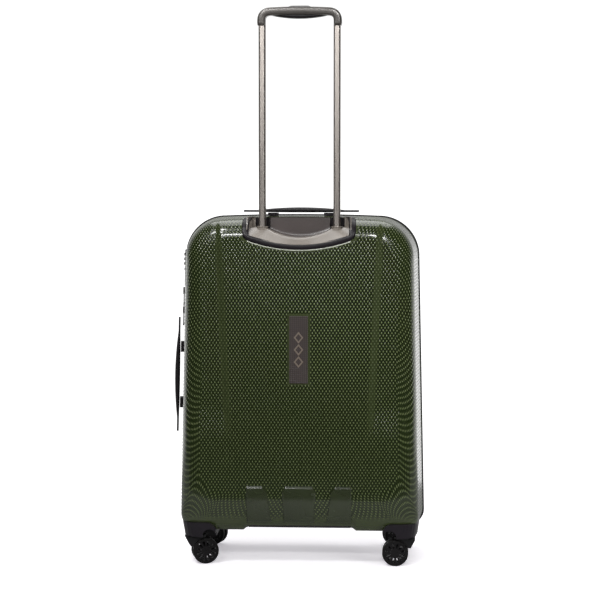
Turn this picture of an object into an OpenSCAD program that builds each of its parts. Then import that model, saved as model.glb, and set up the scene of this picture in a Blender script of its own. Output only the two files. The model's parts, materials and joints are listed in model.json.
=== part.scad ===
// Hard shell suitcase on four swivelling twin casters, with a telescopic trolley handle.
// Frame: +Z up from the floor, the trolley side faces -Y, the zip lies in the plane y = 0.

/* [Case] */
// Highest point of the shells above the floor
case_top = 668; // [640:1:690]
// Underside of the shells above the floor
case_bottom = 65; // [62:1:68]
// Half the width of the shells at the zip, down at their underside
rim_half = 237.5; // [230:0.5:245]
// How far each side leans in for every millimetre of height
side_taper = 0.0223; // [0.01:0.001:0.03]
// Depth of one shell from the zip to the middle of its face
shell_depth = 138; // [130:1:150]
// Thickness of the moulded shells
wall = 2.6; // [2:0.2:4]

/* [Trolley] */
// Distance from the middle plane to the middle of each tube
tube_x = 70.6; // [68:0.2:74]
// Width of a sliding tube
tube_w = 13.2; // [12:0.1:14]
// Depth of a sliding tube
tube_d = 20; // [18:0.5:22]
// Travel of the trolley from folded to pulled out
trolley_travel = 376; // [340:1:390]
// Top of the grip when the trolley is pulled out
grip_top = 1063; // [1040:1:1070]
// Width of the grip over its two legs
grip_w = 159.5; // [156:0.5:164]

/* [Carry handles] */
// Length of each carry handle
band_length = 222; // [210:1:230]
// Width of each carry handle
band_width = 26; // [22:1:30]
// How far a carry handle pulls out
band_lift = 12; // [8:1:14]

/* [Casters] */
// Diameter of a wheel
wheel_d = 50; // [46:1:52]
// Distance from the middle plane to a swivel
swivel_x = 199; // [195:1:201]
// Distance from the zip plane to a swivel
swivel_y = 92; // [88:1:94]
// Distance from a swivel to its wheel axle
trail = 16; // [14:1:18]
// Turn of each front caster away from pointing straight inwards
front_turn = 14; // [0:1:30]
// How far the back left caster is turned, degrees
back_left_turn = 14; // [0:1:30]

/* [Hidden] */
$fn = 48;
e = 0.01; // small overlap that keeps cuts clean

// ---- Shell form ----
zip_half = 4; // half the width of the zip between the two shells
draft = 0.09; // lean of the sides for every millimetre of depth
end_draft = 0.02; // the same for the top and the underside
foot_in = 100; // inner edge of the two strips that the case stands on
middle_lift = 6; // rise of the underside between them
wall_depth = 98; // depth at which the walls start to round into the face
edge_r = 36; // rounding from a wall into the face, at the sides and the top
bottom_edge = 75; // height over which the face rounds into the underside
top_r = 77; // corner radius at the top, at the zip
bottom_r = 30; // corner radius at the bottom, at the zip
crown = 3; // rise of the top's middle over its corners
face_mid = 372; // height of the middle of the face
arc_steps = 6;
crown_steps = 4;
wall_steps = 1;
edge_steps = 5;
face_steps = 2;

function half_width(z) = rim_half - side_taper * (z - case_bottom);

// Points of an arc in the x-z plane, in the order of rising angle
function arc(centre, r, start, stop, steps = arc_steps) =
  [for (i = [0:steps]) let (a = start + (stop - start) * i / steps) centre + r * [cos(a), sin(a)]];

// Outline of the case at one depth, leaning in from the zip outline by three insets;
// lift raises the middle of the underside
function outline(side, bottom, top, lift = 0) =
  let (
    rb = bottom_r + 0.3 * bottom,
    rt = top_r - 0.5 * top,
    zb = case_bottom + bottom,
    zt = case_top - crown - top,
    low = [half_width(zb + rb) - side - rb, zb + rb],
    high = [half_width(zt - rt) - side - rt, zt - rt],
    right = concat(arc(low, rb, -90, 0), arc(high, rt, 0, 90)),
    over = [for (i = [1:crown_steps - 1])
      let (x = high[0] * (1 - 2 * i / crown_steps)) [x, zt + crown * (1 - pow(x / high[0], 2))]]
  )
  concat(
    right, over, [for (i = [len(right) - 1:-1:0]) [-right[i][0], right[i][1]]],
    [[-foot_in - 8, zb], [-foot_in, zb + lift], [foot_in, zb + lift], [foot_in + 8, zb]]
  );

// Rings of a skin that lies g outside the shells' outer surface: the wall, the edge and the face
function wall_ring(depth, g) =
  let (end = end_draft * depth - g, lift = middle_lift * max(0, depth) / wall_depth)
  [depth, outline(draft * depth - g, end, end, lift)];
function edge_ring(a, g) =
  let (reach = 1 - cos(a))
  let (side = draft * wall_depth + edge_r * reach - g * cos(a))
  let (low = end_draft * wall_depth + bottom_edge * reach - g * cos(a))
  let (top = end_draft * wall_depth + edge_r * reach - g * cos(a))
  [wall_depth + (edge_r + g) * sin(a), outline(side, low, top, middle_lift * (1 - reach))];
function face_ring(s, g) =
  let (last = edge_ring(90, g), rise = shell_depth - wall_depth - edge_r)
  [last[0] + rise * (1 - s * s), [for (p = last[1]) [p[0] * s, face_mid + (p[1] - face_mid) * s]]];

function rings(g, start) = concat(
  [for (i = [0:wall_steps]) wall_ring(start + (wall_depth - start) * i / wall_steps, g)],
  [for (i = [1:edge_steps]) edge_ring(90 * i / edge_steps, g)],
  [for (i = [1:face_steps - 1]) face_ring(1 - i / face_steps, g)]
);
function skin_points(g, start) = concat(
  [for (ring = rings(g, start)) for (p = ring[1]) [p[0], -ring[0], p[1]]],
  [[0, -(face_ring(0, g)[0]), face_mid]]
);
ring_n = 4 * (arc_steps + 1) + crown_steps + 3;
ring_count = wall_steps + edge_steps + face_steps;

// Triangles of one skin whose first point is number base; flip turns them inside out
function turn(f, flip) = flip ? f : [f[2], f[1], f[0]];
function skin_faces(base, flip) = concat(
  [for (k = [0:ring_count - 2]) for (i = [0:ring_n - 1])
    let (a = base + k * ring_n + i, b = base + k * ring_n + (i + 1) % ring_n)
    for (f = [[a, b, b + ring_n], [a, b + ring_n, a + ring_n]]) turn(f, flip)],
  [for (i = [0:ring_n - 1])
    let (a = base + (ring_count - 1) * ring_n)
    turn([a + i, a + (i + 1) % ring_n, a + ring_n], flip)]
);

// Solid form of one half of the case, g larger than the shell all round
module case_form(g = 0, start = 0) {
  skin = skin_points(g, start);
  polyhedron(
    points = concat(skin, [[0, -start, face_mid]]),
    faces = concat(skin_faces(0, false), [for (i = [0:ring_n - 1]) [i, (i + 1) % ring_n, len(skin)]])
  );
}

// Pan of constant thickness whose outer skin lies g outside the shell's
module pan(g, thick, start) {
  outer = skin_points(g, start);
  inner = skin_points(g - thick, start);
  n = len(outer);
  polyhedron(
    points = concat(outer, inner),
    faces = concat(
      skin_faces(0, false),
      skin_faces(n, true),
      [for (i = [0:ring_n - 1]) let (j = (i + 1) % ring_n) for (f = [[j, n + j, i], [n + j, n + i, i]]) f]
    )
  );
}

module mirror_y(on) {
  mirror([0, on ? 1 : 0, 0]) children();
}
module mirror_x(on) {
  mirror([on ? 1 : 0, 0, 0]) children();
}
module both_sides() {
  for (side = [false, true]) mirror_x(side) children();
}

// ---- Corner housings ----
housing_in = 160; // inner side of a housing
housing_top = 84;
housing_bottom = 55;
housing_front = 46; // end of a housing towards the zip
housing_wall = 3;
pin_r = 4;
boss_r = 12;
boss_bottom = 56;

// Plan of a housing in the back right corner, drawn in by inset
module housing_plan(side, back, inset = 0) {
  r = edge_r - 2;
  offset(delta = -inset) polygon(concat(
    [[housing_in, -housing_front], [housing_in, -back]],
    [for (p = arc([side - 4 - r, -back + r], r, -90, 0)) p],
    [[side, -housing_front]]
  ));
}
module housing_block(inset, bottom, top) {
  hull() {
    translate([0, 0, top - 1]) linear_extrude(1) housing_plan(230, 125, inset);
    translate([0, 0, bottom]) linear_extrude(1) housing_plan(226, 119, inset);
  }
}
// Rounds the upper inner edge of a housing, seen from the back
module housing_side_view(grow = 0) {
  translate([0, -40 + e, 0]) rotate([90, 0, 0]) linear_extrude(100) hull() {
    translate([housing_in + 16 - grow, housing_top - 16 + grow]) circle(16);
    translate([housing_in - grow - 3, housing_bottom - 2]) square([5, 2]);
    translate([225, housing_bottom - 2]) square([20, housing_top - housing_bottom + 2 + grow]);
  }
}
module housing_hollow() {
  housing_block(housing_wall, housing_bottom - 2, housing_top - housing_wall);
}
// Arched notch through the back wall of a housing
module housing_notch() {
  translate([172, -100, 58]) rotate([90, 0, 0]) linear_extrude(40) {
    circle(13);
    translate([-13, -10]) square([26, 10]);
  }
}
module housing() {
  color("#26242a") difference() {
    union() {
      difference() {
        intersection() {
          housing_block(0, housing_bottom, housing_top);
          housing_side_view();
        }
        housing_hollow();
      }
      translate([swivel_x, -swivel_y, boss_bottom]) cylinder(r = boss_r, h = housing_top - boss_bottom - 1);
    }
    housing_notch();
    translate([swivel_x, -swivel_y, boss_bottom - 1]) cylinder(r = pin_r, h = 23);
  }
}
module swivel_pins(front) {
  color("#b8bcc0") mirror_y(front) both_sides() translate([swivel_x, -swivel_y, 50])
    union() {
      cylinder(r = pin_r, h = 28);
      translate([0, 0, -1.4]) cylinder(r = 6.5, h = 1.4);
    }
}

// ---- Trolley cup in the top of the back shell ----
cup_half = 107; // half the width of the cup's black trim
cup_low = 606; // lowest point of the trim
cup_sag_r = 291; // radius of the trim's lower edge
trim_w = 10;
cup_front = 78; // how close the cup comes to the zip plane
shelf_back = 617; // height of the sloping shelf at the case's face
shelf_front = 648; // height of the shelf at the tubes
tube_y = 99;
scoop_r = 118; // hollow in the shelf for the fingers

// U-shaped outline of the cup, seen from the back, drawn in by inset
module cup_outline(inset = 0) {
  offset(delta = -inset) offset(r = 18) offset(delta = -18) intersection() {
    translate([-cup_half, cup_low]) square([2 * cup_half, 120]);
    translate([0, cup_low + cup_sag_r]) circle(cup_sag_r, $fn = 160);
  }
}
module cup_prism(inset, from, to) {
  translate([0, -from, 0]) rotate([90, 0, 0]) linear_extrude(to - from) cup_outline(inset);
}

module cup_trim() {
  color("#1f1d20") intersection() {
    difference() {
      cup_prism(0.3, 60, 150);
      cup_prism(trim_w, 59, 151);
      translate([-150, -cup_front, 500]) cube([300, 100, 300]);
    }
    pan(1.2, 7, -5);
  }
}
// Everything under the sloping shelf, with the finger scoop taken out of its middle
module shelf_fill(drop) {
  translate([0, 0, -drop]) difference() {
    translate([-cup_half, 0, 0]) rotate([90, 0, 90]) linear_extrude(2 * cup_half)
      polygon([
        [-140, 560], [-cup_front, 560], [-cup_front, shelf_front],
        [-tube_y - 8, shelf_front], [-140, shelf_back - 2]
      ]);
    translate([0, -cup_front, 629 + scoop_r]) rotate([90, 0, 0]) cylinder(r = scoop_r, h = 60, $fn = 120);
  }
}
module trolley_cup() {
  panel = 3;
  color("#857c72") difference() {
    intersection() {
      case_form(-0.8);
      cup_prism(trim_w + 0.2, cup_front - 5, 141);
      union() {
        difference() {
          shelf_fill(0);
          shelf_fill(3);
        }
        // upright panel behind the grip
        translate([-cup_half, -cup_front - panel, 600]) cube([2 * cup_half, panel, 70]);
        // side walls
        difference() {
          cup_prism(trim_w, cup_front, 142);
          cup_prism(trim_w + 3.2, cup_front - 1, 143);
        }
      }
    }
    both_sides() tube_shape(tube_x, 3.4, 600, 60);
  }
}

// ---- Trolley ----
// Upright bar of a tube's section, grown all round
module tube_shape(x, grow, from, length) {
  w = tube_w + 2 * grow;
  d = tube_d + 2 * grow;
  r = 3.5 + grow;
  translate([x, -tube_y, from]) linear_extrude(length) union() {
    square([w - 2 * r, d], center = true);
    square([w, d - 2 * r], center = true);
    for (i = [-1, 1]) for (j = [-1, 1]) translate([i * (w / 2 - r), j * (d / 2 - r)]) circle(r);
  }
}
guide_wall = 1.2;
guide_gap = 0.4;
guide_bottom = 106;
guide_top = shelf_front - 10;
grip_leg = grip_top - 36; // underside of the grip's legs
tube_bottom = grip_leg - trolley_travel - 128;
block_h = 40;
pin_level = tube_bottom + 12;

module guide_tubes() {
  color("#8f9194") both_sides() difference() {
    tube_shape(tube_x, guide_gap + guide_wall, guide_bottom, guide_top - guide_bottom);
    tube_shape(tube_x, guide_gap, guide_bottom - 1, guide_top - guide_bottom + 2);
    // holes that the lock pins spring into when the trolley is out and when it is folded
    for (z = [pin_level, pin_level - trolley_travel])
      translate([tube_x, -tube_y, z]) rotate([0, 90, 0]) cylinder(r = 3.3, h = 30);
  }
}
module guide_collars() {
  color("#2a282b") both_sides() difference() {
    union() {
      tube_shape(tube_x, 3.3, guide_top + 0.2, shelf_front - guide_top + 0.6);
      tube_shape(tube_x, 4.2, shelf_front + 0.2, 1.2);
    }
    tube_shape(tube_x, 0.3, guide_top - 1, 20);
  }
}
module tube_foot() {
  foot_z = guide_bottom - 14;
  color("#2a282b") difference() {
    union() {
      translate([-92, -117, foot_z]) cube([184, 36, 14]);
      both_sides() tube_shape(tube_x, 5, foot_z + 14 - e, 18);
    }
    both_sides() tube_shape(tube_x, guide_gap + guide_wall, guide_bottom - e, 30);
    both_sides() translate([40, -tube_y, foot_z - 1]) cylinder(r = 2.2, h = 20);
    both_sides() translate([40, -tube_y, foot_z + 6]) cylinder(r = 4.4, h = 20);
  }
}
// Cover that hides both guide tubes from the packing space
module tube_cover() {
  color("#3b3a3d") difference() {
    translate([-94, -128.6, 130]) cube([188, 50.6, 466]);
    translate([-91.5, -129.6, 129]) cube([183, 48.6, 468]);
  }
}
module trolley_tubes() {
  color("#a8a39d") both_sides() difference() {
    tube_shape(tube_x, 0, tube_bottom, grip_leg + 12 - tube_bottom);
    tube_shape(tube_x, -1.1, tube_bottom - 1, grip_leg + 14 - tube_bottom);
    translate([tube_x, -tube_y, pin_level]) rotate([0, 90, 0]) cylinder(r = 3.3, h = 20);
  }
}
// Grip seen from the back: a shallow arch that turns down into two legs
module grip_face(grow = 0) {
  half = grip_w / 2;
  top = grip_top - 1;
  leg = 15.8;
  difference() {
    hull() {
      translate([-40, top - 20]) square([80, 20]);
      for (i = [-1, 1]) {
        translate([i * (half - 17), top - 21]) circle(16, $fn = 32);
        translate([i * (half - 8.5), grip_leg + 0.5]) square([15, 1], center = true);
      }
    }
    hull() for (i = [-1, 1]) {
      translate([i * (half - leg - 11), top - 29]) circle(11, $fn = 32);
      translate([i * (half - leg - 1), grip_leg - 2]) square([2, 2], center = true);
    }
    translate([-half, grip_leg - 10]) square([2 * half, 10]);
  }
}
grip_d = 27;
pad_low = grip_top - 23;
module grip() {
  color("#4a4743") difference() {
    translate([0, -tube_y + grip_d / 2, 0]) rotate([90, 0, 0]) linear_extrude(grip_d) grip_face();
    // sockets for the tubes
    both_sides() tube_shape(tube_x, 0.06, grip_leg - 1, 13.06);
    // well for the button and the cross bar of the pull rods
    translate([-21, -tube_y - 7, grip_top - 8]) cube([42, 14, 20]);
    translate([-tube_x - 3, -tube_y - 3, grip_top - 16]) cube([2 * tube_x + 6, 6, 9]);
    both_sides() translate([tube_x, -tube_y, grip_leg + 10]) cylinder(r = 3, h = 14);
    // seat of the soft pad
    translate([-56, -tube_y - 9, pad_low - 10]) cube([112, 18, 12]);
  }
}
pad_r = 295.5; // radius of the pad's belly
module grip_pad() {
  color("#19181a") difference() {
    intersection() {
      translate([-55.8, -tube_y - 8.8, pad_low - 4]) cube([111.6, 17.6, 5.8]);
      translate([0, -tube_y + 15, pad_low - 3.5 + pad_r]) rotate([90, 0, 0])
        cylinder(r = pad_r, h = 30, $fn = 200);
    }
    both_sides() translate([40, -tube_y, pad_low - 6]) cylinder(r = 2.4, h = 5);
  }
}
module release_button() {
  color("#232124") union() {
    translate([-20.7, -tube_y - 6.7, grip_top - 3.4]) cube([41.4, 13.4, 4.6]);
    translate([-8, -tube_y - 2.6, grip_top - 7.6]) cube([16, 5.2, 4.4]);
  }
}
rod_top = grip_top - 8;
module pull_rods() {
  color("#c4c6c8") union() {
    translate([-tube_x - 2, -tube_y - 2.4, rod_top - 3]) cube([2 * tube_x + 4, 4.8, 3]);
    both_sides() translate([tube_x, -tube_y, tube_bottom + block_h + 6])
      cylinder(r = 2, h = rod_top - 1 - tube_bottom - block_h - 6);
  }
}
module lock_blocks() {
  color("#2a282b") both_sides() difference() {
    tube_shape(tube_x, -1.2, tube_bottom + 0.5, block_h);
    translate([tube_x - 2.6, -tube_y, pin_level]) rotate([0, 90, 0]) cylinder(r = 3.25, h = 12);
    translate([tube_x, -tube_y, pin_level + 5]) cylinder(r = 2.6, h = block_h);
  }
}
module lock_pin(left) {
  color("#c4c6c8") mirror_x(left) translate([tube_x + 1.2, -tube_y, pin_level]) rotate([0, 90, 0])
    cylinder(r = 3.1, h = 5.6);
}

// ---- Carry handles ----
// One handle lying along x with its mounting plane at z = 0: thin wings and a padded middle
top_rest = 8; // underside of the top handle's wings over the shell
side_rest = 9; // the same for the side handle, which stands a little further off
post_x = 54;
stem = band_lift + 8; // length of a handle's guide pin
module carry_band(rest) {
  color("#1d1b1e") union() {
    rotate([90, 0, 0]) linear_extrude(band_width, center = true) hull() {
      for (i = [-1, 1]) translate([i * (band_length / 2 - 1.2), rest + 1.2]) circle(1.2, $fn = 32);
      translate([-70, rest]) square([140, 3.4]);
      translate([-30, rest + 1]) square([60, 6]);
    }
    rotate([90, 0, 0]) linear_extrude(band_width - 4, center = true) intersection() {
      translate([0, 320 + rest - 0.6]) circle(320, $fn = 240);
      translate([0, rest + 9 - 330]) circle(330, $fn = 240);
      translate([-52, 0]) square([104, 40]);
    }
    for (i = [-1, 1]) translate([i * post_x, 0, rest - stem]) cylinder(r = 3.4, h = stem + 1);
  }
}
module carry_posts(rest) {
  sunk = stem - rest + 2; // depth of a post's hole under the shell
  color("#3a3739") for (i = [-1, 1]) translate([i * post_x, 0, 0]) difference() {
    union() {
      translate([-10, -10, 1.2]) cube([20, 20, rest - 2.6]);
      translate([0, 0, -sunk - 2]) cylinder(r = 7, h = sunk + 4);
    }
    translate([0, 0, -sunk]) cylinder(r = 3.45, h = 60);
  }
}
handle_y = -38;
top_seat = case_top - 1.2; // crowned top of the shell where the posts stand
side_y = -50;
side_z = 361;
module on_top() {
  translate([0, handle_y, top_seat]) children();
}
side_seat = half_width(side_z) + draft * side_y;
module on_side() {
  translate([-side_seat, side_y, side_z]) rotate([0, 0, atan(draft)])
    rotate([0, -90 + atan(side_taper), 0]) children();
}

// ---- Casters ----
disc_low = 51.6;
web = 6;
wheel_w = 10.6;
wheel_gap = 0.7;
axle_r = 3;
hub_r = 20.6;
slots = 12;
slot_in = 10.6;
slot_out = 17.2;
slot_narrow = 1.2;
slot_wide = 2.2;
module caster(corner) {
  left = corner == "bl" || corner == "fl";
  front = corner == "fl" || corner == "fr";
  aim = front ? (left ? -front_turn : 180 + front_turn) : (left ? back_left_turn : 180);
  translate([(left ? -1 : 1) * swivel_x, (front ? 1 : -1) * swivel_y, 0]) rotate([0, 0, aim]) children();
}
module yoke() {
  half = web / 2 + wheel_gap + wheel_w;
  color("#141315") difference() {
    union() {
      translate([0, 0, disc_low]) cylinder(r = 17.5, h = 4);
      rotate([90, 0, 0]) linear_extrude(2 * half, center = true)
        polygon([[-22, disc_low + 1], [-21, 49], [-13.5, 35], [2, 36.5], [14, disc_low + 1]]);
      rotate([90, 0, 0]) linear_extrude(web, center = true)
        polygon([[-18, disc_low + 1], [-13, 40], [10, 20], [22, 29], [10, disc_low + 1]]);
      translate([trail, 0, wheel_d / 2]) rotate([90, 0, 0]) cylinder(r = 7, h = web, center = true);
    }
    for (side = [-1, 1]) translate([trail, side * (web / 2 + 20), wheel_d / 2]) rotate([90, 0, 0])
      cylinder(r = wheel_d / 2 + 1.2, h = 40, center = true);
    translate([trail, 0, wheel_d / 2]) rotate([90, 0, 0]) cylinder(r = axle_r + 0.05, h = 60, center = true);
    translate([0, 0, 30]) cylinder(r = pin_r + 0.05, h = 40);
    translate([0, 0, 20]) cylinder(r = 6.8, h = 30.2);
  }
}
// Drop-shaped opening between two spokes of a wheel
module slot() {
  lean = asin((slot_wide - slot_narrow) / (slot_out - slot_in));
  polygon(concat(
    arc([slot_in, 0], slot_narrow, 90 + lean, 270 - lean, 4),
    arc([slot_out, 0], slot_wide, -90 - lean, 90 + lean, 6)
  ));
}
module hubs() {
  color("#1c1a1b") translate([trail, 0, wheel_d / 2]) rotate([90, 0, 0]) union() {
    cylinder(r = axle_r, h = web + 2 * wheel_gap + wheel_w, center = true);
    for (side = [-1, 1]) translate([0, 0, side * (web / 2 + wheel_gap + wheel_w / 2)])
      linear_extrude(wheel_w - 1.2, center = true) difference() {
        circle(hub_r);
        for (i = [0:slots - 1]) rotate(360 / slots * (i + 0.5)) slot();
      }
  }
}
module tyres() {
  color("#232122") translate([trail, 0, wheel_d / 2]) rotate([90, 0, 0])
    for (side = [-1, 1]) translate([0, 0, side * (web / 2 + wheel_gap + wheel_w / 2)])
      rotate_extrude($fn = 72) difference() {
        translate([hub_r, -wheel_w / 2]) square([wheel_d / 2 - hub_r, wheel_w]);
        for (k = [-1, 1]) translate([wheel_d / 2 - 1.6, k * (wheel_w / 2 - 1.6)]) difference() {
          translate([0, k < 0 ? -2 : 0]) square([2, 2]);
          circle(1.6);
        }
      }
}

// ---- Lock and zip pulls on the left side, next to the zip ----
lock_z = 566;
lock_h = 70;
lock_y = -22;
lock_seat = half_width(lock_z) + draft * lock_y;
dial_pitch = 9;
dial_r = 7.5;
dial_depth = 5; // how far the dials' axle lies under the lock's face
lock_face = 3; // rise of the lock over the shell
// Lock frame: x along the case's height, z out of its side
module on_lock() {
  translate([-lock_seat, lock_y, lock_z]) rotate([0, 0, atan(draft)])
    rotate([0, -90 + atan(side_taper), 0]) children();
}
module lock_body() {
  color("#2b2a2c") on_lock() difference() {
    translate([-lock_h / 2, -12, -12]) cube([lock_h, 24, 12 + lock_face]);
    for (i = [0:2]) translate([8 + i * dial_pitch, 0, lock_face - dial_depth]) rotate([0, 90, 0])
      cylinder(r = dial_r + 0.4, h = 5.6, center = true);
    translate([17, 0, lock_face - dial_depth]) rotate([0, 90, 0]) cylinder(r = 1.05, h = 32, center = true);
    translate([-5, -5, lock_face - 4]) cube([8, 10, 5]);
    translate([-25, 0, lock_face - 8]) cylinder(r = 4.05, h = 10);
  }
}
module dial(i) {
  at = [8 + (i - 1) * dial_pitch, 0, lock_face - dial_depth];
  color("#8d8a86") on_lock() translate(at) rotate([0, 90, 0]) union() {
    difference() {
      cylinder(r = dial_r, h = 5, center = true);
      for (k = [0:9]) rotate(36 * k) translate([dial_r + 0.4, 0, -4]) cylinder(r = 0.8, h = 8, $fn = 16);
    }
    cylinder(r = 1, h = 8.8, center = true);
  }
}
module lock_button() {
  color("#8d8a86") on_lock() translate([-4.8, -4.8, lock_face - 2.6]) cube([4.6, 9.6, 3.8]);
}
module key_cylinder() {
  color("#b0a99f") on_lock() difference() {
    translate([-25, 0, lock_face - 7.8]) cylinder(r = 4, h = 8.1);
    translate([-25.5, -2.6, lock_face - 3]) cube([1, 5.2, 6]);
  }
}
zip_out = 2.2; // how far the zip stands out of the shells
slider_h = 13;
slider_at = [lock_z - 46, lock_z - 84];
module on_zip(z) {
  translate([-half_width(z) - zip_out, 0, z]) rotate([0, -90 + atan(side_taper), 0]) children();
}
module slider(z) {
  color("#77736e") on_zip(z) difference() {
    translate([-slider_h / 2, -5.5, 0.3]) cube([slider_h, 11, 3.4]);
    translate([-2, 0, 2.1]) rotate([90, 0, 0]) cylinder(r = 1.05, h = 12, center = true);
    translate([-6.6, -3, 0.9]) cube([9, 6, 4]);
  }
}
module pull_tab(z) {
  color("#2b2a2c") on_zip(z) union() {
    translate([-2, 0, 2.1]) rotate([90, 0, 0]) cylinder(r = 1, h = 10.6, center = true);
    difference() {
      union() {
        translate([-24, -2.8, 1.2]) cube([22, 5.6, 1.8]);
        translate([-26, 0, 1.2]) cylinder(r = 5, h = 1.8);
      }
      translate([-26, 0, 0]) cylinder(r = 2.5, h = 6);
    }
  }
}

// ---- Shells and soft parts ----
module cut_back_corners(grow) {
  both_sides() intersection() {
    translate([housing_in - 20, -160, 0]) cube([120, 160 - housing_front + grow, housing_top + grow]);
    housing_side_view(grow);
  }
}
module back_shell() {
  color("#33472b") difference() {
    pan(0, wall, zip_half);
    cut_back_corners(0.2);
    cup_prism(0, cup_front - 0.2, 160);
    translate([-120, -200, case_top - 1]) cube([240, 200 - cup_front, 20]);
    // holes for the carry handles' posts and the lock
    on_top() for (i = [-1, 1]) translate([i * post_x, 0, -20]) cylinder(r = 7.2, h = 40);
    on_side() for (i = [-1, 1]) translate([i * post_x, 0, -20]) cylinder(r = 7.2, h = 40);
    on_lock() translate([-lock_h / 2 - 0.2, -12.2, -20]) cube([lock_h + 0.4, 24.4, 40]);
  }
}
module front_shell() {
  color("#33472b") mirror_y(true) difference() {
    pan(0, wall, zip_half);
    cut_back_corners(0.2);
  }
}
lining_gap = 0.5;
lining_t = 1;
module back_lining() {
  color("#5b5a58") difference() {
    pan(-wall - lining_gap, lining_t, zip_half + 2);
    cut_back_corners(1.5);
    cup_prism(-3, cup_front - 3, 160);
    translate([-130, -200, 600]) cube([260, 200 - cup_front + 5, 90]);
    translate([-96, -150, 60]) cube([192, 66, 540]);
    on_top() for (i = [-1, 1]) translate([i * post_x, 0, -20]) cylinder(r = 9, h = 40);
    on_side() for (i = [-1, 1]) translate([i * post_x, 0, -30]) cylinder(r = 9, h = 50);
    on_lock() translate([-lock_h / 2 - 2, -14, -30]) cube([lock_h + 4, 28, 60]);
  }
}
module front_lining() {
  color("#5b5a58") mirror_y(true) difference() {
    pan(-wall - lining_gap, lining_t, zip_half + 2);
    cut_back_corners(1.5);
  }
}
// One half of the zip: a bead between the shells and a tape behind it
module zip_half_ring(front) {
  color("#121113") mirror_y(front) difference() {
    translate([0, -0.15, 0]) rotate([90, 0, 0]) linear_extrude(zip_half - 0.3)
      polygon(outline(-zip_out, -zip_out, -zip_out));
    translate([0, 1, 0]) rotate([90, 0, 0]) linear_extrude(zip_half + 2) polygon(outline(2.4, 2.4, 2.4));
  }
}
module divider_panel() {
  inset = 12;
  color("#4c4b49") translate([0, 9, 0]) rotate([90, 0, 0]) linear_extrude(2) intersection() {
    polygon(outline(inset, inset, inset));
    difference() {
      translate([-300, 0]) square([600, 800]);
      both_sides() translate([housing_in - 8, 0]) square([100, housing_top + 6]);
    }
  }
}
strap_w = 25;
strap_y = -9;
module packing_straps() {
  color("#2e2d30") for (i = [-1, 1]) for (end = [[200, 187], [218, -196]])
    translate([0, strap_y, 365]) rotate([0, -atan2(end[1], i * end[0]), 0])
      translate([28, -0.7, -strap_w / 2]) cube([norm(end) - 28, 1.4, strap_w]);
}
module strap_buckle() {
  color("#1a191b") translate([0, strap_y, 365]) difference() {
    rotate([90, 0, 0]) cylinder(r = 27.8, h = 8, center = true);
    for (x = [-12, 12]) translate([x - 3, -10, -9]) cube([6, 20, 18]);
  }
}
// Strip of cloth that joins the two rims inside the hinge side
module hinge_web() {
  color("#1b1a1c") hull() for (z = [190, 530])
    translate([half_width(z) - 8.4, -16, z]) cube([1, 15.6, 1]);
}

// ---- Trim ----
module badge_plate() {
  color("#2d2a2b") translate([-17.3, -141.2, 355]) cube([34.6, 3.1, 127]);
}
// Three open lozenges
module badge_emblem() {
  color("#8a7d6f") for (k = [-1:1]) translate([0, -141.2, 418.5 + 23 * k]) rotate([90, 0, 0])
    linear_extrude(0.8) difference() {
      polygon([[0, 11], [9, 0], [0, -11], [-9, 0]]);
      polygon([[0, 7], [5.7, 0], [0, -7], [-5.7, 0]]);
    }
}
guard_half = 99;
module base_guard() {
  color("#1e1d1f") intersection() {
    pan(2.3, 2, 20);
    translate([-guard_half, -115, 60]) cube([2 * guard_half, 55, 19]);
  }
}
pad_top = 158;
// Half outlines of the raised pads low on the face that the case can be laid down on
module skid_pads() {
  middle = [[0, 85], [29, 85], [32, 146], [26, pad_top], [0, pad_top]];
  outer = [[52, 85], [100, 85], [100, pad_top], [70, pad_top], [60, 146]];
  color("#2e3328") intersection() {
    pan(2.6, 2.4, 60);
    both_sides() rotate([90, 0, 0]) linear_extrude(160) {
      polygon(middle);
      polygon(outer);
    }
  }
}
// The back casters' swivel pins and the screws of the tube foot
module back_fasteners() {
  swivel_pins(false);
  color("#9da0a3") both_sides() translate([40, -tube_y, guide_bottom - 8 + 0.1]) union() {
    cylinder(r = 4.2, h = 2.4);
    translate([0, 0, -4]) cylinder(r = 2, h = 5);
  }
}

back_shell();
back_lining();
zip_half_ring(false);  // back_zip_tape
cup_trim();
trolley_cup();
guide_tubes();
guide_collars();
tube_foot();
tube_cover();
mirror_x(true) housing();  // back_left_housing
housing();  // back_right_housing
back_fasteners();
on_top() carry_posts(top_rest);  // top_handle_posts
on_side() carry_posts(side_rest);  // side_handle_posts
badge_plate();
badge_emblem();
base_guard();
skid_pads();
lock_body();
packing_straps();
strap_buckle();
hinge_web();
trolley_tubes();
grip();
grip_pad();
lock_blocks();
release_button();
pull_rods();
lock_pin(true);  // lock_pin_left
lock_pin(false);  // lock_pin_right
on_top() carry_band(top_rest);  // top_handle
on_side() carry_band(side_rest);  // side_handle
front_shell();
front_lining();
zip_half_ring(true);  // front_zip_tape
mirror_y(true) mirror_x(true) housing();  // front_left_housing
mirror_y(true) housing();  // front_right_housing
swivel_pins(true);  // front_swivel_pins
divider_panel();
for (corner = ["bl", "br", "fl", "fr"]) {
  caster(corner) yoke();
  caster(corner) hubs();
  caster(corner) tyres();
}
for (i = [1:3]) dial(i);
lock_button();
key_cylinder();
slider(slider_at[0]);  // upper_slider
slider(slider_at[1]);  // lower_slider
pull_tab(slider_at[0]);  // upper_pull
pull_tab(slider_at[1]);  // lower_pull
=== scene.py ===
"""Looks of a hard shell suitcase on wheels, built round its fixed frame."""
import json
import math

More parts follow.
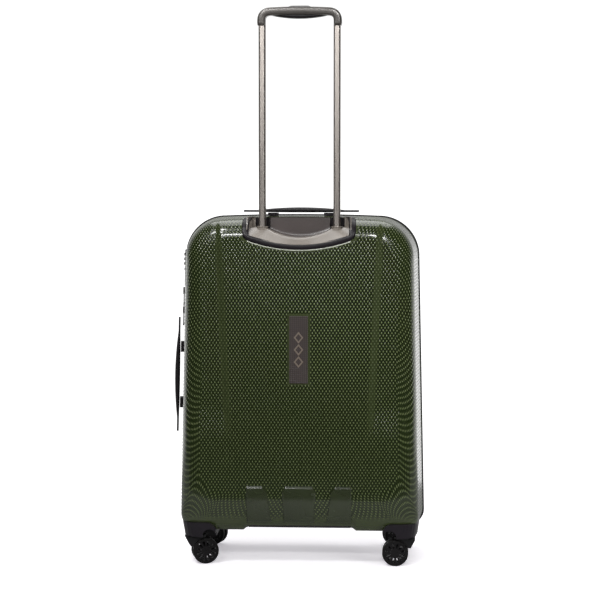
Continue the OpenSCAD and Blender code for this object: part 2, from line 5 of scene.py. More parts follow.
import bmesh
import bpy
import numpy as np
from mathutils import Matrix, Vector


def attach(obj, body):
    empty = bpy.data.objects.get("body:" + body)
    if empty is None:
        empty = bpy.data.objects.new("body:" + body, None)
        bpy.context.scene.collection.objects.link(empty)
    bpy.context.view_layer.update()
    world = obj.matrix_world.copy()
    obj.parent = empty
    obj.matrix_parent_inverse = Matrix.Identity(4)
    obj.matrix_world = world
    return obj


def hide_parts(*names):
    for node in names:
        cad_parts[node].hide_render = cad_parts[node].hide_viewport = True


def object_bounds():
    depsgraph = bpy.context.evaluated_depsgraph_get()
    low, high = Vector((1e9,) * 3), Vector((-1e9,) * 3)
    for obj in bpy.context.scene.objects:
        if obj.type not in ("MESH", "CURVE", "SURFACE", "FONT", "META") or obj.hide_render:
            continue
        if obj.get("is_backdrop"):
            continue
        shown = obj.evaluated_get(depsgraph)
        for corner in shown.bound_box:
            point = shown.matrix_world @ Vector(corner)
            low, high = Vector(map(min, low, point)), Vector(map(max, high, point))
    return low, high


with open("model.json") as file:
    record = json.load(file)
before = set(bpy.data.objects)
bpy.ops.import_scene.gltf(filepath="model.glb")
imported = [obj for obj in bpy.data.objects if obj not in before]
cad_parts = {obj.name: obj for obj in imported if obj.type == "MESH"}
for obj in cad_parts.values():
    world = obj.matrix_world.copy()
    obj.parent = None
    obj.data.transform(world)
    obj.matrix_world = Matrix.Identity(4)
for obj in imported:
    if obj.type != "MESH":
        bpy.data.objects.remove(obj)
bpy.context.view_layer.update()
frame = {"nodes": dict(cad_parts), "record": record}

MM = 0.001

# ---------------------------------------------------------------- form of the case, in mm
TOP, LOW, RIM, TAPER = 668.0, 65.0, 237.5, 0.0223
DRAFT, END_DRAFT = 0.09, 0.02
WALL_DEPTH, EDGE_R, LOW_EDGE, DEPTH = 98.0, 36.0, 75.0, 138.0
TOP_R, LOW_R, CROWN, MID = 77.0, 30.0, 3.0, 372.0
FOOT_IN, LIFT, RIM_DEPTH, WALL = 100.0, 6.0, 4.0, 2.6
DOT_X, DOT_Z, DOT_HEIGHT = 6.5, 10.0, 0.55
FOOT_CUT = (166.0, -52.0, 79.0)  # beyond it in x, y and z the corner housings take over
BADGE = (17.5, 64.0, 418.5)  # half width, half height and middle height of the plate's seat
CUP_BACK_P = 1.215  # how far over the top's edge the cup's cut goes, as p of form()
EDGE_ARC = EDGE_R * math.pi / 2
WALL_RUN = WALL_DEPTH - RIM_DEPTH


def smooth(x):
    """Cubic step 3x^2 - 2x^3 of x held between 0 and 1."""
    x = np.clip(x, 0.0, 1.0)
    return x * x * (3.0 - 2.0 * x)


def half_width(z):
    """Half the width of the zip outline at height z: a straight side that leans in upwards."""
    return RIM - TAPER * (z - LOW)


def outline_frame(side, low, top):
    """Corner radii and corner centres of the outline that leans in by side, low and top."""
    rb, rt = LOW_R + 0.3 * low, TOP_R - 0.5 * top
    zb, zt = LOW + low, TOP - CROWN - top
    lz, hz = zb + rb, zt - rt
    return rb, rt, zb, zt, half_width(lz) - side - rb, lz, half_width(hz) - side - rt, hz


def outline_xz(side, low, top, lift, part, f):
    """Right half of the outline: part 0 is the underside, 1 the low corner arc, 2 the side,
    3 the high corner arc and 4 the crowned top; f runs 0 to 1 along each. The underside
    is raised by lift between the two feet."""
    rb, rt, zb, zt, lx, lz, hx, hz = outline_frame(side, low, top)
    q = f * math.pi / 2
    x = np.select(
        [part == 0, part == 1, part == 2, part == 3],
        [f * lx, lx + rb * np.sin(q), lx + rb + (hx + rt - lx - rb) * f, hx + rt * np.cos(q)],
        hx * (1 - f),
    )
    z = np.select(
        [part == 0, part == 1, part == 2, part == 3],
        [zb + lift * (1 - smooth((f * lx - FOOT_IN) / 8)), lz - rb * np.cos(q), lz + (hz - lz) * f,
         hz + rt * np.sin(q)],
        zt + CROWN * (1 - (1 - f) ** 2),
    )
    return x, z


FACE_IN = (DRAFT * WALL_DEPTH + EDGE_R, END_DRAFT * WALL_DEPTH + LOW_EDGE, END_DRAFT * WALL_DEPTH + EDGE_R)
_angles = np.linspace(0, math.pi / 2, 200)
_speed = np.hypot(EDGE_R * np.sin(_angles), LOW_EDGE * np.cos(_angles))
LOW_ARC = np.concatenate([[0], np.cumsum((_speed[1:] + _speed[:-1]) / 2 * np.diff(_angles))])


def locate(s, t):
    """Nearest place on the face's outline to a point (s, t) of the flat sheet, as the part,
    the fraction f along it, and the distance d beyond it (negative inside)."""
    rb, rt, zb, zt, lx, lz, hx, hz = outline_frame(*FACE_IN)
    a = np.abs(s)
    f2 = np.clip((t - lz) / (hz - lz), 0, 1)
    low, high, corner_l, corner_h = t < lz, t > hz, a >= lx, a >= hx
    part = np.select([low & ~corner_l, low & corner_l, high & corner_h, high & ~corner_h], [0, 1, 3, 4], 2)
    f = np.select(
        [part == 0, part == 1, part == 2, part == 3],
        [a / lx, np.arctan2(a - lx, lz - t) / (math.pi / 2), f2, np.arctan2(t - hz, a - hx) / (math.pi / 2)],
        1 - a / hx,
    )
    d = np.select(
        [part == 0, part == 1, part == 2, part == 3],
        [zb - t, np.hypot(a - lx, t - lz) - rb, a - (lx + rb + (hx + rt - lx - rb) * f2),
         np.hypot(a - hx, t - hz) - rt],
        t - (zt + CROWN * (1 - (a / hx) ** 2)),
    )
    return part, f, d


def crease_x(z):
    """Half the width of the raised middle panel at height z."""
    return 133.0 + (z - 324.0) * 0.0466


def form(s, t, limit=2.0):
    """A flat sheet (s across, t up) drawn over one half of the case. Inside the face's outline
    it stays put and bulges a little; beyond it, the distance d runs round the edge's quarter
    ellipse and on down the wall to the rim. Returns x, depth, z and how far down it is."""
    part, f, d = locate(s, t)
    w = np.select([part == 0, part == 1], [1.0, np.cos(f * math.pi / 2) ** 2], 0.0)
    p_side = np.where(d < EDGE_ARC, d / EDGE_ARC, 1 + (d - EDGE_ARC) / WALL_RUN)
    on_edge = np.interp(d, LOW_ARC, _angles) / (math.pi / 2)
    p_low = np.where(d < LOW_ARC[-1], on_edge, 1 + (d - LOW_ARC[-1]) / WALL_RUN)
    p = np.clip((1 - w) * p_side + w * p_low, 0, limit)
    a = math.pi / 2 * (1 - np.minimum(p, 1))
    depth = np.where(p < 1, WALL_DEPTH + EDGE_R * np.sin(a), WALL_DEPTH - (p - 1) * WALL_RUN)
    flat = np.minimum(depth, WALL_DEPTH)
    reach = 1 - np.cos(a)
    x, z = outline_xz(
        DRAFT * flat + EDGE_R * reach, END_DRAFT * flat + LOW_EDGE * reach,
        END_DRAFT * flat + EDGE_R * reach,
        LIFT * np.minimum(flat / WALL_DEPTH, 1 - reach), part, f,
    )
    inside = d <= 0
    xf = half_width(t) - FACE_IN[0]
    rho = (np.abs(s / xf) ** 6 + np.abs((t - MID) / 258.0) ** 6) ** (1 / 6)
    bulge = (DEPTH - WALL_DEPTH - EDGE_R) * (1 - np.clip(rho, 0, 1) ** 2) * smooth(-d / 30)
    x = np.where(inside, s, np.sign(s) * x)
    z = np.where(inside, t, z)
    depth = np.where(inside, WALL_DEPTH + EDGE_R + bulge, depth)
    fade = smooth((z - 245) / 70) * (1 - smooth((p - 0.9) / 0.7))
    step = 3.8 * smooth((np.abs(x) - crease_x(z)) / 9.0) * fade
    return x, depth - step * np.clip(1.2 - p, 0, 1), z, p


def sheet_s(x, t):
    """Sheet coordinate s that lands on a real x at the top and the underside, where the sheet fans out."""
    t = np.asarray(t, float)
    return x * 60.0 / form(np.full(t.shape, 60.0), t)[0]


def shell_point(s, t, out=0.0):
    """Point of the drawn sheet moved out along its normal, in the back half's frame (y = -depth)."""
    h = 0.5
    x, depth, z, p = form(s, t)
    xa, da, za, _ = form(s + h, t, 3.0)
    xb, db, zb, _ = form(s - h, t, 3.0)
    xc, dc, zc, _ = form(s, t + h, 3.0)
    xd, dd, zd, _ = form(s, t - h, 3.0)
    du = np.stack([xa - xb, db - da, za - zb], -1)
    dv = np.stack([xc - xd, dd - dc, zc - zd], -1)
    n = np.cross(du, dv)
    n /= np.maximum(np.linalg.norm(n, axis=-1, keepdims=True), 1e-9)
    return np.stack([x, -depth, z], -1) + np.asarray(out)[..., None] * n, p, n


def dots(s, t):
    """Staggered grain: the product of two cosines, kept where it is high."""
    h = np.cos(2 * math.pi * s / DOT_X) * np.cos(2 * math.pi * t / DOT_Z)
    return smooth((h + 0.05) / 1.05)


# ---------------------------------------------------------------- meshes
def grid_faces(nu, nv, wrap_u=False, wrap_v=False):
    """Quads of a grid of nu by nv points stored row by row (v outer), closed round u or v."""
    u = np.arange(nu if wrap_u else nu - 1)
    v = np.arange(nv if wrap_v else nv - 1)
    uu, vv = np.meshgrid(u, v)
    u2, v2 = (uu + 1) % nu, (vv + 1) % nv
    return np.stack([vv * nu + uu, vv * nu + u2, v2 * nu + u2, v2 * nu + uu], -1).reshape(-1, 4)


def piece(name, points, faces, material, body, nodes=(), uv=None, mask=None, sharp=None, turn=False,
          recalc=False, calm=None):
    """One mesh from points (mm) and quads: drops unused points, sets smooth shading, a sheet
    UV map, a pattern attribute and the undotted surface's normals (calm), and puts it on a body
    in place of the named nodes."""
    points = np.asarray(points, float).reshape(-1, 3)
    faces = np.asarray(faces, int)
    if turn:
        faces = faces[:, ::-1]
    used, back = np.unique(faces, return_inverse=True)
    faces = back.reshape(faces.shape)
    mesh = bpy.data.meshes.new(name)
    mesh.from_pydata((points[used] * MM).tolist(), [], faces.tolist())
    mesh.validate()
    if uv is not None:
        layer = mesh.uv_layers.new(name="sheet")
        index = np.empty(len(mesh.loops), int)
        mesh.loops.foreach_get("vertex_index", index)
        layer.data.foreach_set("uv", (np.asarray(uv, float).reshape(-1, 2)[used] * MM)[index].ravel())
    if mask is not None:
        mesh.attributes.new("pattern", "FLOAT", "POINT").data.foreach_set(
            "value", np.asarray(mask, float).ravel()[used])
    if calm is not None:
        mesh.attributes.new("calm", "FLOAT_VECTOR", "POINT").data.foreach_set(
            "vector", np.asarray(calm, float).reshape(-1, 3)[used].ravel())
    if recalc:
        bm = bmesh.new()
        bm.from_mesh(mesh)
        bmesh.ops.remove_doubles(bm, verts=bm.verts, dist=1e-6)
        bmesh.ops.recalc_face_normals(bm, faces=bm.faces)
        bm.to_mesh(mesh)
        bm.free()
    mesh.polygons.foreach_set("use_smooth", np.ones(len(mesh.polygons), bool))
    if sharp:
        mesh.set_sharp_from_angle(angle=math.radians(sharp))
    mesh.materials.append(material)
    mesh.update()
    o = bpy.data.objects.new(name, mesh)
    bpy.context.scene.collection.objects.link(o)
    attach(o, body)
    if nodes:
        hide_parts(*nodes)
    return o


def slab(rows):
    """Points and faces of a closed body from rows of sections, each row one closed ring."""
    return capped(rows.reshape(-1, 3), rows.shape[1], rows.shape[0])


def quad_area(points, faces):
    """Area in square metres of quads with corners in mm, each taken as two triangles."""
    a, b, c, d = (points[faces[:, k]] for k in range(4))
    halves = np.linalg.norm(np.cross(b - a, d - a), axis=1) + np.linalg.norm(np.cross(d - c, b - c), axis=1)
    return halves.sum() / 2 * MM * MM


def smoothed(path, radius, times=3):
    """Running mean of a polyline's points over a window of about radius points, ends held."""
    path = np.asarray(path, float)
    for _ in range(times):
        padded = np.concatenate([np.repeat(path[:1], radius, 0), path, np.repeat(path[-1:], radius, 0)])
        total = np.cumsum(np.concatenate([np.zeros((1, path.shape[1])), padded]), 0)
        mean = (total[2 * radius + 1:] - total[:-2 * radius - 1]) / (2 * radius + 1)
        mean[0], mean[-1] = path[0], path[-1]
        path = mean
    return path


def resampled(points, n):
    """n points evenly spaced along a polyline."""
    points = np.asarray(points, float)
    run = np.concatenate([[0], np.cumsum(np.linalg.norm(np.diff(points, axis=0), axis=1))])
    at = np.linspace(0, run[-1], n)
    return np.stack([np.interp(at, run, points[:, k]) for k in range(points.shape[1])], -1)


def rounded_section(n, half_w, half_h, power=4.0):
    """Closed section |x/w|^p + |y/h|^p = 1 as n points."""
    a = np.linspace(0, 2 * math.pi, n, endpoint=False)
    c, s = np.cos(a), np.sin(a)
    e = 2 / power
    return np.stack([half_w * np.sign(c) * np.abs(c) ** e, half_h * np.sign(s) * np.abs(s) ** e], -1)


def capped(points, nu, nv):
    """Quads of a tube of nv rings of nu points, with both ends drawn to their middles by rings
    at 0.8, 0.4 and 0.001 of the end ring's size."""
    rings = points.reshape(nv, nu, 3)
    first, last = rings[:1], rings[-1:]
    mid_a, mid_b = first.mean(1, keepdims=True), last.mean(1, keepdims=True)
    k = np.array([0.001, 0.4, 0.8])[:, None, None]
    rings = np.concatenate([mid_a + (first - mid_a) * k, rings, mid_b + (last - mid_b) * k[::-1]])
    return rings.reshape(-1, 3), grid_faces(nu, nv + 6, wrap_u=True)


def band_on_shell(path, section):
    """A closed section (w across, h out) swept along a path on the sheet, so that it hugs the shell."""
    path, section = np.asarray(path, float), np.asarray(section, float)
    tangent = np.gradient(path, axis=0)
    tangent /= np.linalg.norm(tangent, axis=1, keepdims=True)
    across = np.stack([-tangent[:, 1], tangent[:, 0]], -1)
    st = path[:, None, :] + across[:, None, :] * section[None, :, :1]
    out = np.broadcast_to(section[None, :, 1], st.shape[:2])
    pts, _, _ = shell_point(st[..., 0], st[..., 1], out)
    return pts.reshape(-1, 3), len(section), len(path)


def rim_loop(depth, grow, n=90):
    """Closed outline at one depth of the wall, grown outwards: the five parts of the right half,
    then the left half mirrored."""
    parts = [(0, n), (1, n // 3), (2, n), (3, n // 2), (4, n // 2)]
    part = np.concatenate([np.full(k, i) for i, k in parts])
    f = np.concatenate([np.linspace(0, 1, k, endpoint=False) for _, k in parts])
    side, end = DRAFT * depth - grow, END_DRAFT * depth - grow
    x, z = outline_xz(side, end, end, LIFT * max(depth, 0) / WALL_DEPTH, part, f)
    x, z = np.append(x, -x[:0:-1]), np.append(z, z[:0:-1])
    return np.stack([x, np.full_like(x, -depth), z], -1)


def ring_piece(profile, n):
    """Closed profile of (depth, grow) points carried round the rim."""
    pts = np.stack([rim_loop(d, g, n) for d, g in profile], 1)
    return pts.reshape(-1, 3), grid_faces(len(profile), pts.shape[0], True, True)


def mirrored(points):
    """The same points in the front half."""
    return np.asarray(points).reshape(-1, 3) * [1, -1, 1]


# ---------------------------------------------------------------- node materials
def fill(tree, n, **inputs):
    """Links or sets a node's inputs. In a name, _ stands for a space; _3 is input number 3."""
    for k, v in inputs.items():
        number = k[0] == "_" and k[1:].isdigit()
        target = n.inputs[int(k[1:]) if number else k.replace("_", " ")]
        if isinstance(v, bpy.types.NodeSocket):
            tree.links.new(v, target)
        else:
            target.default_value = v


def node(tree, kind, settings=None, **inputs):
    """Adds a node, sets its options and fills its inputs."""
    n = tree.nodes.new(kind)
    for k, v in (settings or {}).items():
        setattr(n, k, v)
    fill(tree, n, **inputs)
    return n


def math_node(tree, operation, a, b=0.0):
    """One arithmetic step."""
    return node(tree, "ShaderNodeMath", {"operation": operation}, _0=a, _1=b).outputs[0]


def shader_group(name, inputs, outputs, build):
    """A shared effect: a node group with named sockets that puts out values only."""
    tree = bpy.data.node_groups.new(name, "ShaderNodeTree")
    for label, kind, value in inputs:
        socket = tree.interface.new_socket(label, in_out="INPUT", socket_type=kind)
        if value is not None:
            socket.default_value = value
    for label in outputs:
        tree.interface.new_socket(label, in_out="OUTPUT", socket_type="NodeSocketFloat")
    gin, gout = tree.nodes.new("NodeGroupInput"), tree.nodes.new("NodeGroupOutput")
    for label, socket in build(tree, gin.outputs).items():
        tree.links.new(socket, gout.inputs[label])
    return tree


def build_wear(tree, at):
    """Fine moulding grain, broad tone change, and thin scratches from a stretched noise."""
    grain = node(tree, "ShaderNodeTexNoise", Vector=at["Vector"], Scale=at["Grain Scale"], Detail=4.0,
                 Roughness=0.6)
    broad = node(tree, "ShaderNodeTexNoise", Vector=at["Vector"], Scale=9.0, Detail=3.0)
    stretch = node(tree, "ShaderNodeMapping", Vector=at["Vector"], Scale=(40.0, 900.0, 55.0),
                   Rotation=(0.3, 0.5, 0.9))
    scratch = node(tree, "ShaderNodeTexNoise", Vector=stretch.outputs[0], Scale=1.0, Detail=2.0)
    line = node(tree, "ShaderNodeMapRange", Value=scratch.outputs[0], _1=0.66, _2=0.74)
    return {"Grain": grain.outputs[0], "Tone": broad.outputs[0], "Scratch": line.outputs[0]}


def build_weave(tree, at):
    """Plain weave: warp and weft sine waves that pass over one another in turn."""
    sep = node(tree, "ShaderNodeSeparateXYZ", Vector=at["Vector"])
    k = math_node(tree, "DIVIDE", 2 * math.pi, at["Pitch"])
    u, v = (math_node(tree, "SINE", math_node(tree, "MULTIPLY", sep.outputs[i], k)) for i in (0, 1))
    over = math_node(tree, "MULTIPLY", u, v)
    fuzz = node(tree, "ShaderNodeTexNoise", Vector=at["Vector"], Scale=2500.0, Detail=3.0)
    height = math_node(tree, "ADD", math_node(tree, "ABSOLUTE", over),
                       math_node(tree, "MULTIPLY", fuzz.outputs[0], 0.5))
    tone = node(tree, "ShaderNodeTexNoise", Vector=at["Vector"], Scale=60.0, Detail=4.0)
    return {"Height": height, "Tone": tone.outputs[0], "Over": math_node(tree, "ABSOLUTE", u)}


def build_dots(tree, at):
    """Staggered round bumps: the product of two cosines, raised to a power, kept positive. The second,
    sharper output marks the bumps' tops, where the shell's colour takes its painted glints.
    """
    sep = node(tree, "ShaderNodeSeparateXYZ", Vector=at["Vector"])
    u = math_node(tree, "COSINE", math_node(tree, "MULTIPLY", sep.outputs[0], 2 * math.pi / (DOT_X * MM)))
    v = math_node(tree, "COSINE", math_node(tree, "MULTIPLY", sep.outputs[1], 2 * math.pi / (DOT_Z * MM)))
    lift = math_node(tree, "MAXIMUM", math_node(tree, "MULTIPLY", u, v), 0.0)
    return {"Height": math_node(tree, "POWER", lift, 1.3), "Glint": math_node(tree, "POWER", lift, 2.6)}


def build_brushed(tree, at):
    """Drawn metal: noise squeezed across the draw and long along it."""
    mapped = node(tree, "ShaderNodeMapping", Vector=at["Vector"], Scale=(2600.0, 2600.0, 12.0))
    lines = node(tree, "ShaderNodeTexNoise", Vector=mapped.outputs[0], Scale=1.0, Detail=3.0)
    return {"Lines": lines.outputs[0]}


def build_cells(tree, at):
    """Fine square grid: the smaller of two triangle waves."""
    sep = node(tree, "ShaderNodeSeparateXYZ", Vector=at["Vector"])
    waves = [math_node(tree, "PINGPONG", math_node(tree, "DIVIDE", sep.outputs[i], at["Pitch"]), 0.5)
             for i in (0, 2)]
    return {"Height": math_node(tree, "MINIMUM", *waves)}


V, F = "NodeSocketVector", "NodeSocketFloat"
WEAR = shader_group("surface_wear", [("Vector", V, None), ("Grain Scale", F, 900.0)],
                    ["Grain", "Tone", "Scratch"], build_wear)
WEAVE = shader_group("plain_weave", [("Vector", V, None), ("Pitch", F, 0.0012)], ["Height", "Tone", "Over"],
                     build_weave)
DOTS = shader_group("dot_lattice", [("Vector", V, None)], ["Height", "Glint"], build_dots)
BRUSHED = shader_group("drawn_metal", [("Vector", V, None)], ["Lines"], build_brushed)
CELLS = shader_group("fine_grid", [("Vector", V, None), ("Pitch", F, 0.0022)], ["Height"], build_cells)


def use(tree, group, **inputs):
    """Places a shared group in a material."""
    return node(tree, "ShaderNodeGroup", {"node_tree": group}, **inputs).outputs


def new_material(name, colour):
    """A material with its Principled shader and Object coordinates ready."""
    m = bpy.data.materials.new(name)
    m.use_nodes = True
    m.diffuse_color = (*colour, 1.0)
    tree = m.node_tree
    shader = tree.nodes["Principled BSDF"]
    where = tree.nodes.new("ShaderNodeTexCoord").outputs["Object"]
    return m, tree, shader, where


def tinted(tree, colour, dark, factor):
    """Mixes two colours by a factor."""
    mix = node(tree, "ShaderNodeMix", {"data_type": "RGBA"}, _0=factor)
    mix.inputs[6].default_value = (*dark, 1.0)
    mix.inputs[7].default_value = (*colour, 1.0)
    return mix.outputs[2]


def ranged(tree, value, low, high, a=0.3, b=0.7):
    """Carries value from a..b to low..high."""
    return node(tree, "ShaderNodeMapRange", Value=value, _1=a, _2=b, _3=low, _4=high).outputs[0]


def bumped(tree, height, strength, distance, below=None):
    """Normal of a bump from a height, laid over the normal below when one is given."""
    bump = node(tree, "ShaderNodeBump", Strength=strength, Distance=distance, Height=height)
    if below:
        fill(tree, bump, Normal=below)
    return bump.outputs[0]


def plastic(name, colour, rough, grain=900.0, bump=0.05, coat=0.0, specular=0.5, metallic=0.0):
    """Moulded plastic or lacquer: grain in the bump, a slow change of tone, scratches that are rougher."""
    m, tree, shader, where = new_material(name, colour)
    wear = use(tree, WEAR, Vector=where, Grain_Scale=grain)
    shade = tinted(tree, colour, [c * 0.8 for c in colour], ranged(tree, wear["Tone"], 0.0, 1.0))
    base = ranged(tree, wear["Grain"], rough * 0.85, rough * 1.15)
    scratched = math_node(tree, "ADD", base, math_node(tree, "MULTIPLY", wear["Scratch"], 0.12))
    fill(tree, shader, Base_Color=shade, Roughness=scratched, Metallic=metallic,
         Normal=bumped(tree, wear["Grain"], bump, 0.0004), Specular_IOR_Level=specular, Coat_Weight=coat,
         Coat_Roughness=0.12)
    return m


def metal(name, colour, rough, drawn=True):
    """Drawn or plated metal: lines along Z in the bump and the roughness."""
    m, tree, shader, where = new_material(name, colour)
    lines = use(tree, BRUSHED, Vector=where)["Lines"]
    wear = use(tree, WEAR, Vector=where, Grain_Scale=700.0)
    pick = lines if drawn else wear["Grain"]
    shade = tinted(tree, colour, [c * 0.82 for c in colour], ranged(tree, pick, 0.0, 1.0))
    fill(tree, shader, Base_Color=shade, Roughness=ranged(tree, pick, rough * 0.8, rough * 1.25),
         Normal=bumped(tree, pick, 0.06, 0.0002), Metallic=1.0)
    return m


def cloth(name, colour, pitch=0.0012, uv=None, rough=0.85, bump=0.5, sheen=0.25):
    """Woven cloth: weave in the bump and a little in the colour, with sheen at grazing angles."""
    m, tree, shader, where = new_material(name, colour)
    if uv:
        where = node(tree, "ShaderNodeUVMap", {"uv_map": uv}).outputs[0]
    else:
        # warp along X, weft along Z
        sep = node(tree, "ShaderNodeSeparateXYZ", Vector=where)
        turned_up = node(tree, "ShaderNodeCombineXYZ", X=sep.outputs[0], Y=sep.outputs[2], Z=sep.outputs[1])
        where = turned_up.outputs[0]
    weave = use(tree, WEAVE, Vector=where, Pitch=pitch)
    shade = math_node(tree, "MULTIPLY", weave["Tone"], ranged(tree, weave["Height"], 0.6, 1.2, 0.0, 1.2))
    mixed = tinted(tree, colour, [c * 0.45 for c in colour], ranged(tree, shade, 0.0, 1.0, 0.2, 0.6))
    fill(tree, shader, Base_Color=mixed, Roughness=rough, Sheen_Weight=sheen, Specular_IOR_Level=0.25,
         Normal=bumped(tree, weave["Height"], bump, 0.0004))
    return m


def shell_plastic(name, colour, deep):
    """Glossy coated plastic whose raised dots follow the drawn sheet, fading where pattern is low.
    The dots' tops are painted paler than the dark ground between them, as painted glints, and where the dots
    fade, such as in the creases and along the bottom, a flat mid tone stands in for them."""
    m, tree, shader, where = new_material(name, colour)
    sheet = node(tree, "ShaderNodeUVMap", {"uv_map": "sheet"}).outputs[0]
    keep = node(tree, "ShaderNodeAttribute", {"attribute_name": "pattern"}).outputs["Fac"]
    raised = use(tree, DOTS, Vector=sheet)
    lattice = math_node(tree, "MULTIPLY", raised["Height"], keep)
    # painted glints: each dot's top is lit up towards the pale colour, and a flat tone fills in where the
    # dots fade
    plain = math_node(tree, "MULTIPLY", math_node(tree, "SUBTRACT", 1.0, keep), 0.17)
    crown = math_node(tree, "ADD", math_node(tree, "MULTIPLY", raised["Glint"], keep), plain)
    wear = use(tree, WEAR, Vector=where, Grain_Scale=1400.0)
    # painted light: the glints fade to about half near the bottom and reach full strength higher up, as if
    # lit from above
    height = node(tree, "ShaderNodeSeparateXYZ", Vector=where).outputs[2]
    crown = math_node(tree, "MULTIPLY", crown, ranged(tree, height, 0.55, 1.0, 0.12, 0.45))
    mixed = math_node(tree, "MULTIPLY", crown, ranged(tree, wear["Tone"], 0.9, 1.05))
    rough = ranged(tree, wear["Grain"], 0.16, 0.24)
    scratched = math_node(tree, "ADD", rough, math_node(tree, "MULTIPLY", wear["Scratch"], 0.06))
    raised_dots = bumped(tree, lattice, 0.6, 0.0007)
    calm = node(tree, "ShaderNodeAttribute", {"attribute_name": "calm"}).outputs["Vector"]
    to_world = {"vector_type": "NORMAL", "convert_from": "OBJECT", "convert_to": "WORLD"}
    level = node(tree, "ShaderNodeVectorTransform", to_world, Vector=calm)
    fill(tree, shader, Base_Color=tinted(tree, colour, deep, mixed), Roughness=scratched,
         Normal=bumped(tree, wear["Grain"], 0.03, 0.0003, raised_dots), Specular_IOR_Level=0.4,
         Coat_Normal=level.outputs[0], Coat_Weight=0.55, Coat_Roughness=0.08)
    return m


def grid_plate(name, colour):
    """Dark plate with a fine square grid pressed into it."""
    m, tree, shader, where = new_material(name, colour)
    cells = use(tree, CELLS, Vector=where, Pitch=0.0038)["Height"]
    wear = use(tree, WEAR, Vector=where, Grain_Scale=900.0)
    line = ranged(tree, cells, 0.0, 1.0, 0.05, 0.22)
    fill(tree, shader, Base_Color=tinted(tree, colour, [c * 0.35 for c in colour], line),
         Roughness=ranged(tree, wear["Grain"], 0.32, 0.45), Normal=bumped(tree, line, 0.7, 0.0004))
    return m


# the first colour is the painted glint on the dots' tops, the second the dark green ground between them
SHELL = shell_plastic("shell_green", (0.186, 0.219, 0.100), (0.011, 0.017, 0.004))
# pale green lip: a painted highlight along the shell's lip under the cup's trim
LIP_HIGHLIGHT = plastic("lip_green", (0.46, 0.48, 0.40), 0.25, coat=0.5)
LOOKS = {
    "shell": SHELL,
    "skid": plastic("skid_green", (0.021, 0.027, 0.012), 0.22, bump=0.03, coat=0.3),
    "lining": cloth("lining_cloth", (0.12, 0.115, 0.11), 0.0016),
    "zip_tape": cloth("zip_cloth", (0.012, 0.012, 0.013), 0.001, sheen=0.1),
    "black_trim": plastic("black_trim", (0.010, 0.008, 0.010), 0.36, 1500.0, 0.08, specular=0.22),
    "cup_grey": plastic("cup_grey", (0.215, 0.19, 0.165), 0.30, 1200.0, 0.04, coat=0.15),
    "guide_alloy": metal("guide_alloy", (0.5, 0.5, 0.51), 0.3),
    "panel_cloth": cloth("panel_cloth", (0.09, 0.088, 0.085), 0.0018),
    "housing": plastic("housing_black", (0.010, 0.008, 0.011), 0.34, 1100.0, 0.06, specular=0.22),
    "steel": metal("bright_steel", (0.55, 0.56, 0.57), 0.22, drawn=False),
    "badge": grid_plate("badge_grid", (0.040, 0.028, 0.025)),
    "bronze": plastic("bronze_paint", (0.25, 0.20, 0.16), 0.35, 1500.0, 0.05, metallic=0.6),
    "lock_black": plastic("lock_black", (0.02, 0.02, 0.021), 0.4, 1500.0, 0.06),
    "strap": cloth("strap_web", (0.025, 0.024, 0.027), 0.0022, bump=0.8),
    "buckle": plastic("buckle_black", (0.012, 0.012, 0.013), 0.25),
    "tube_alloy": metal("tube_alloy", (0.40, 0.365, 0.335), 0.34),
    "grip": plastic("grip_lacquer", (0.078, 0.071, 0.065), 0.28, 1600.0, 0.05, coat=0.2, metallic=0.35),
    "soft_black": plastic("soft_black", (0.007, 0.006, 0.007), 0.45, 1900.0, 0.12, specular=0.22),
    "yoke": plastic("yoke_nylon", (0.006, 0.006, 0.0065), 0.40, 1200.0, 0.08, specular=0.22),
    "wheel_hub": plastic("hub_black", (0.006, 0.0055, 0.006), 0.26, 1200.0, 0.05, specular=0.18),
    "tread": plastic("tread_black", (0.006, 0.0055, 0.0055), 0.45, 2000.0, 0.15, specular=0.14),
    "satin_metal": metal("satin_nickel", (0.35, 0.34, 0.33), 0.28, drawn=False),
}
slots = {part["node"]: part["material_slot"] for part in frame["record"]["subparts"]}
for name, ob in frame["nodes"].items():
    ob.data.materials.clear()
    ob.data.materials.append(LOOKS[slots[name]])

# ---------------------------------------------------------------- shells
CUP_HALF, CUP_LOW, CUP_SAG, TRIM_W = 107.0, 606.0, 291.0, 10.0


def cup_inset(s, t):
    """Distance inside the cup's U outline on the sheet: the least of the side's and the arc's."""
    x = s * form(np.full(np.shape(t), 60.0), t)[0] / 60.0
    return np.minimum(CUP_HALF - np.abs(x), CUP_SAG - np.hypot(x, t - CUP_LOW - CUP_SAG))


def past_foot(points):
    """Which points lie in a lower corner, where the housings take the shell's place."""
    return ((np.abs(points[..., 0]) > FOOT_CUT[0]) & (points[..., 1] < FOOT_CUT[1])
            & (points[..., 2] < FOOT_CUT[2])).ravel()


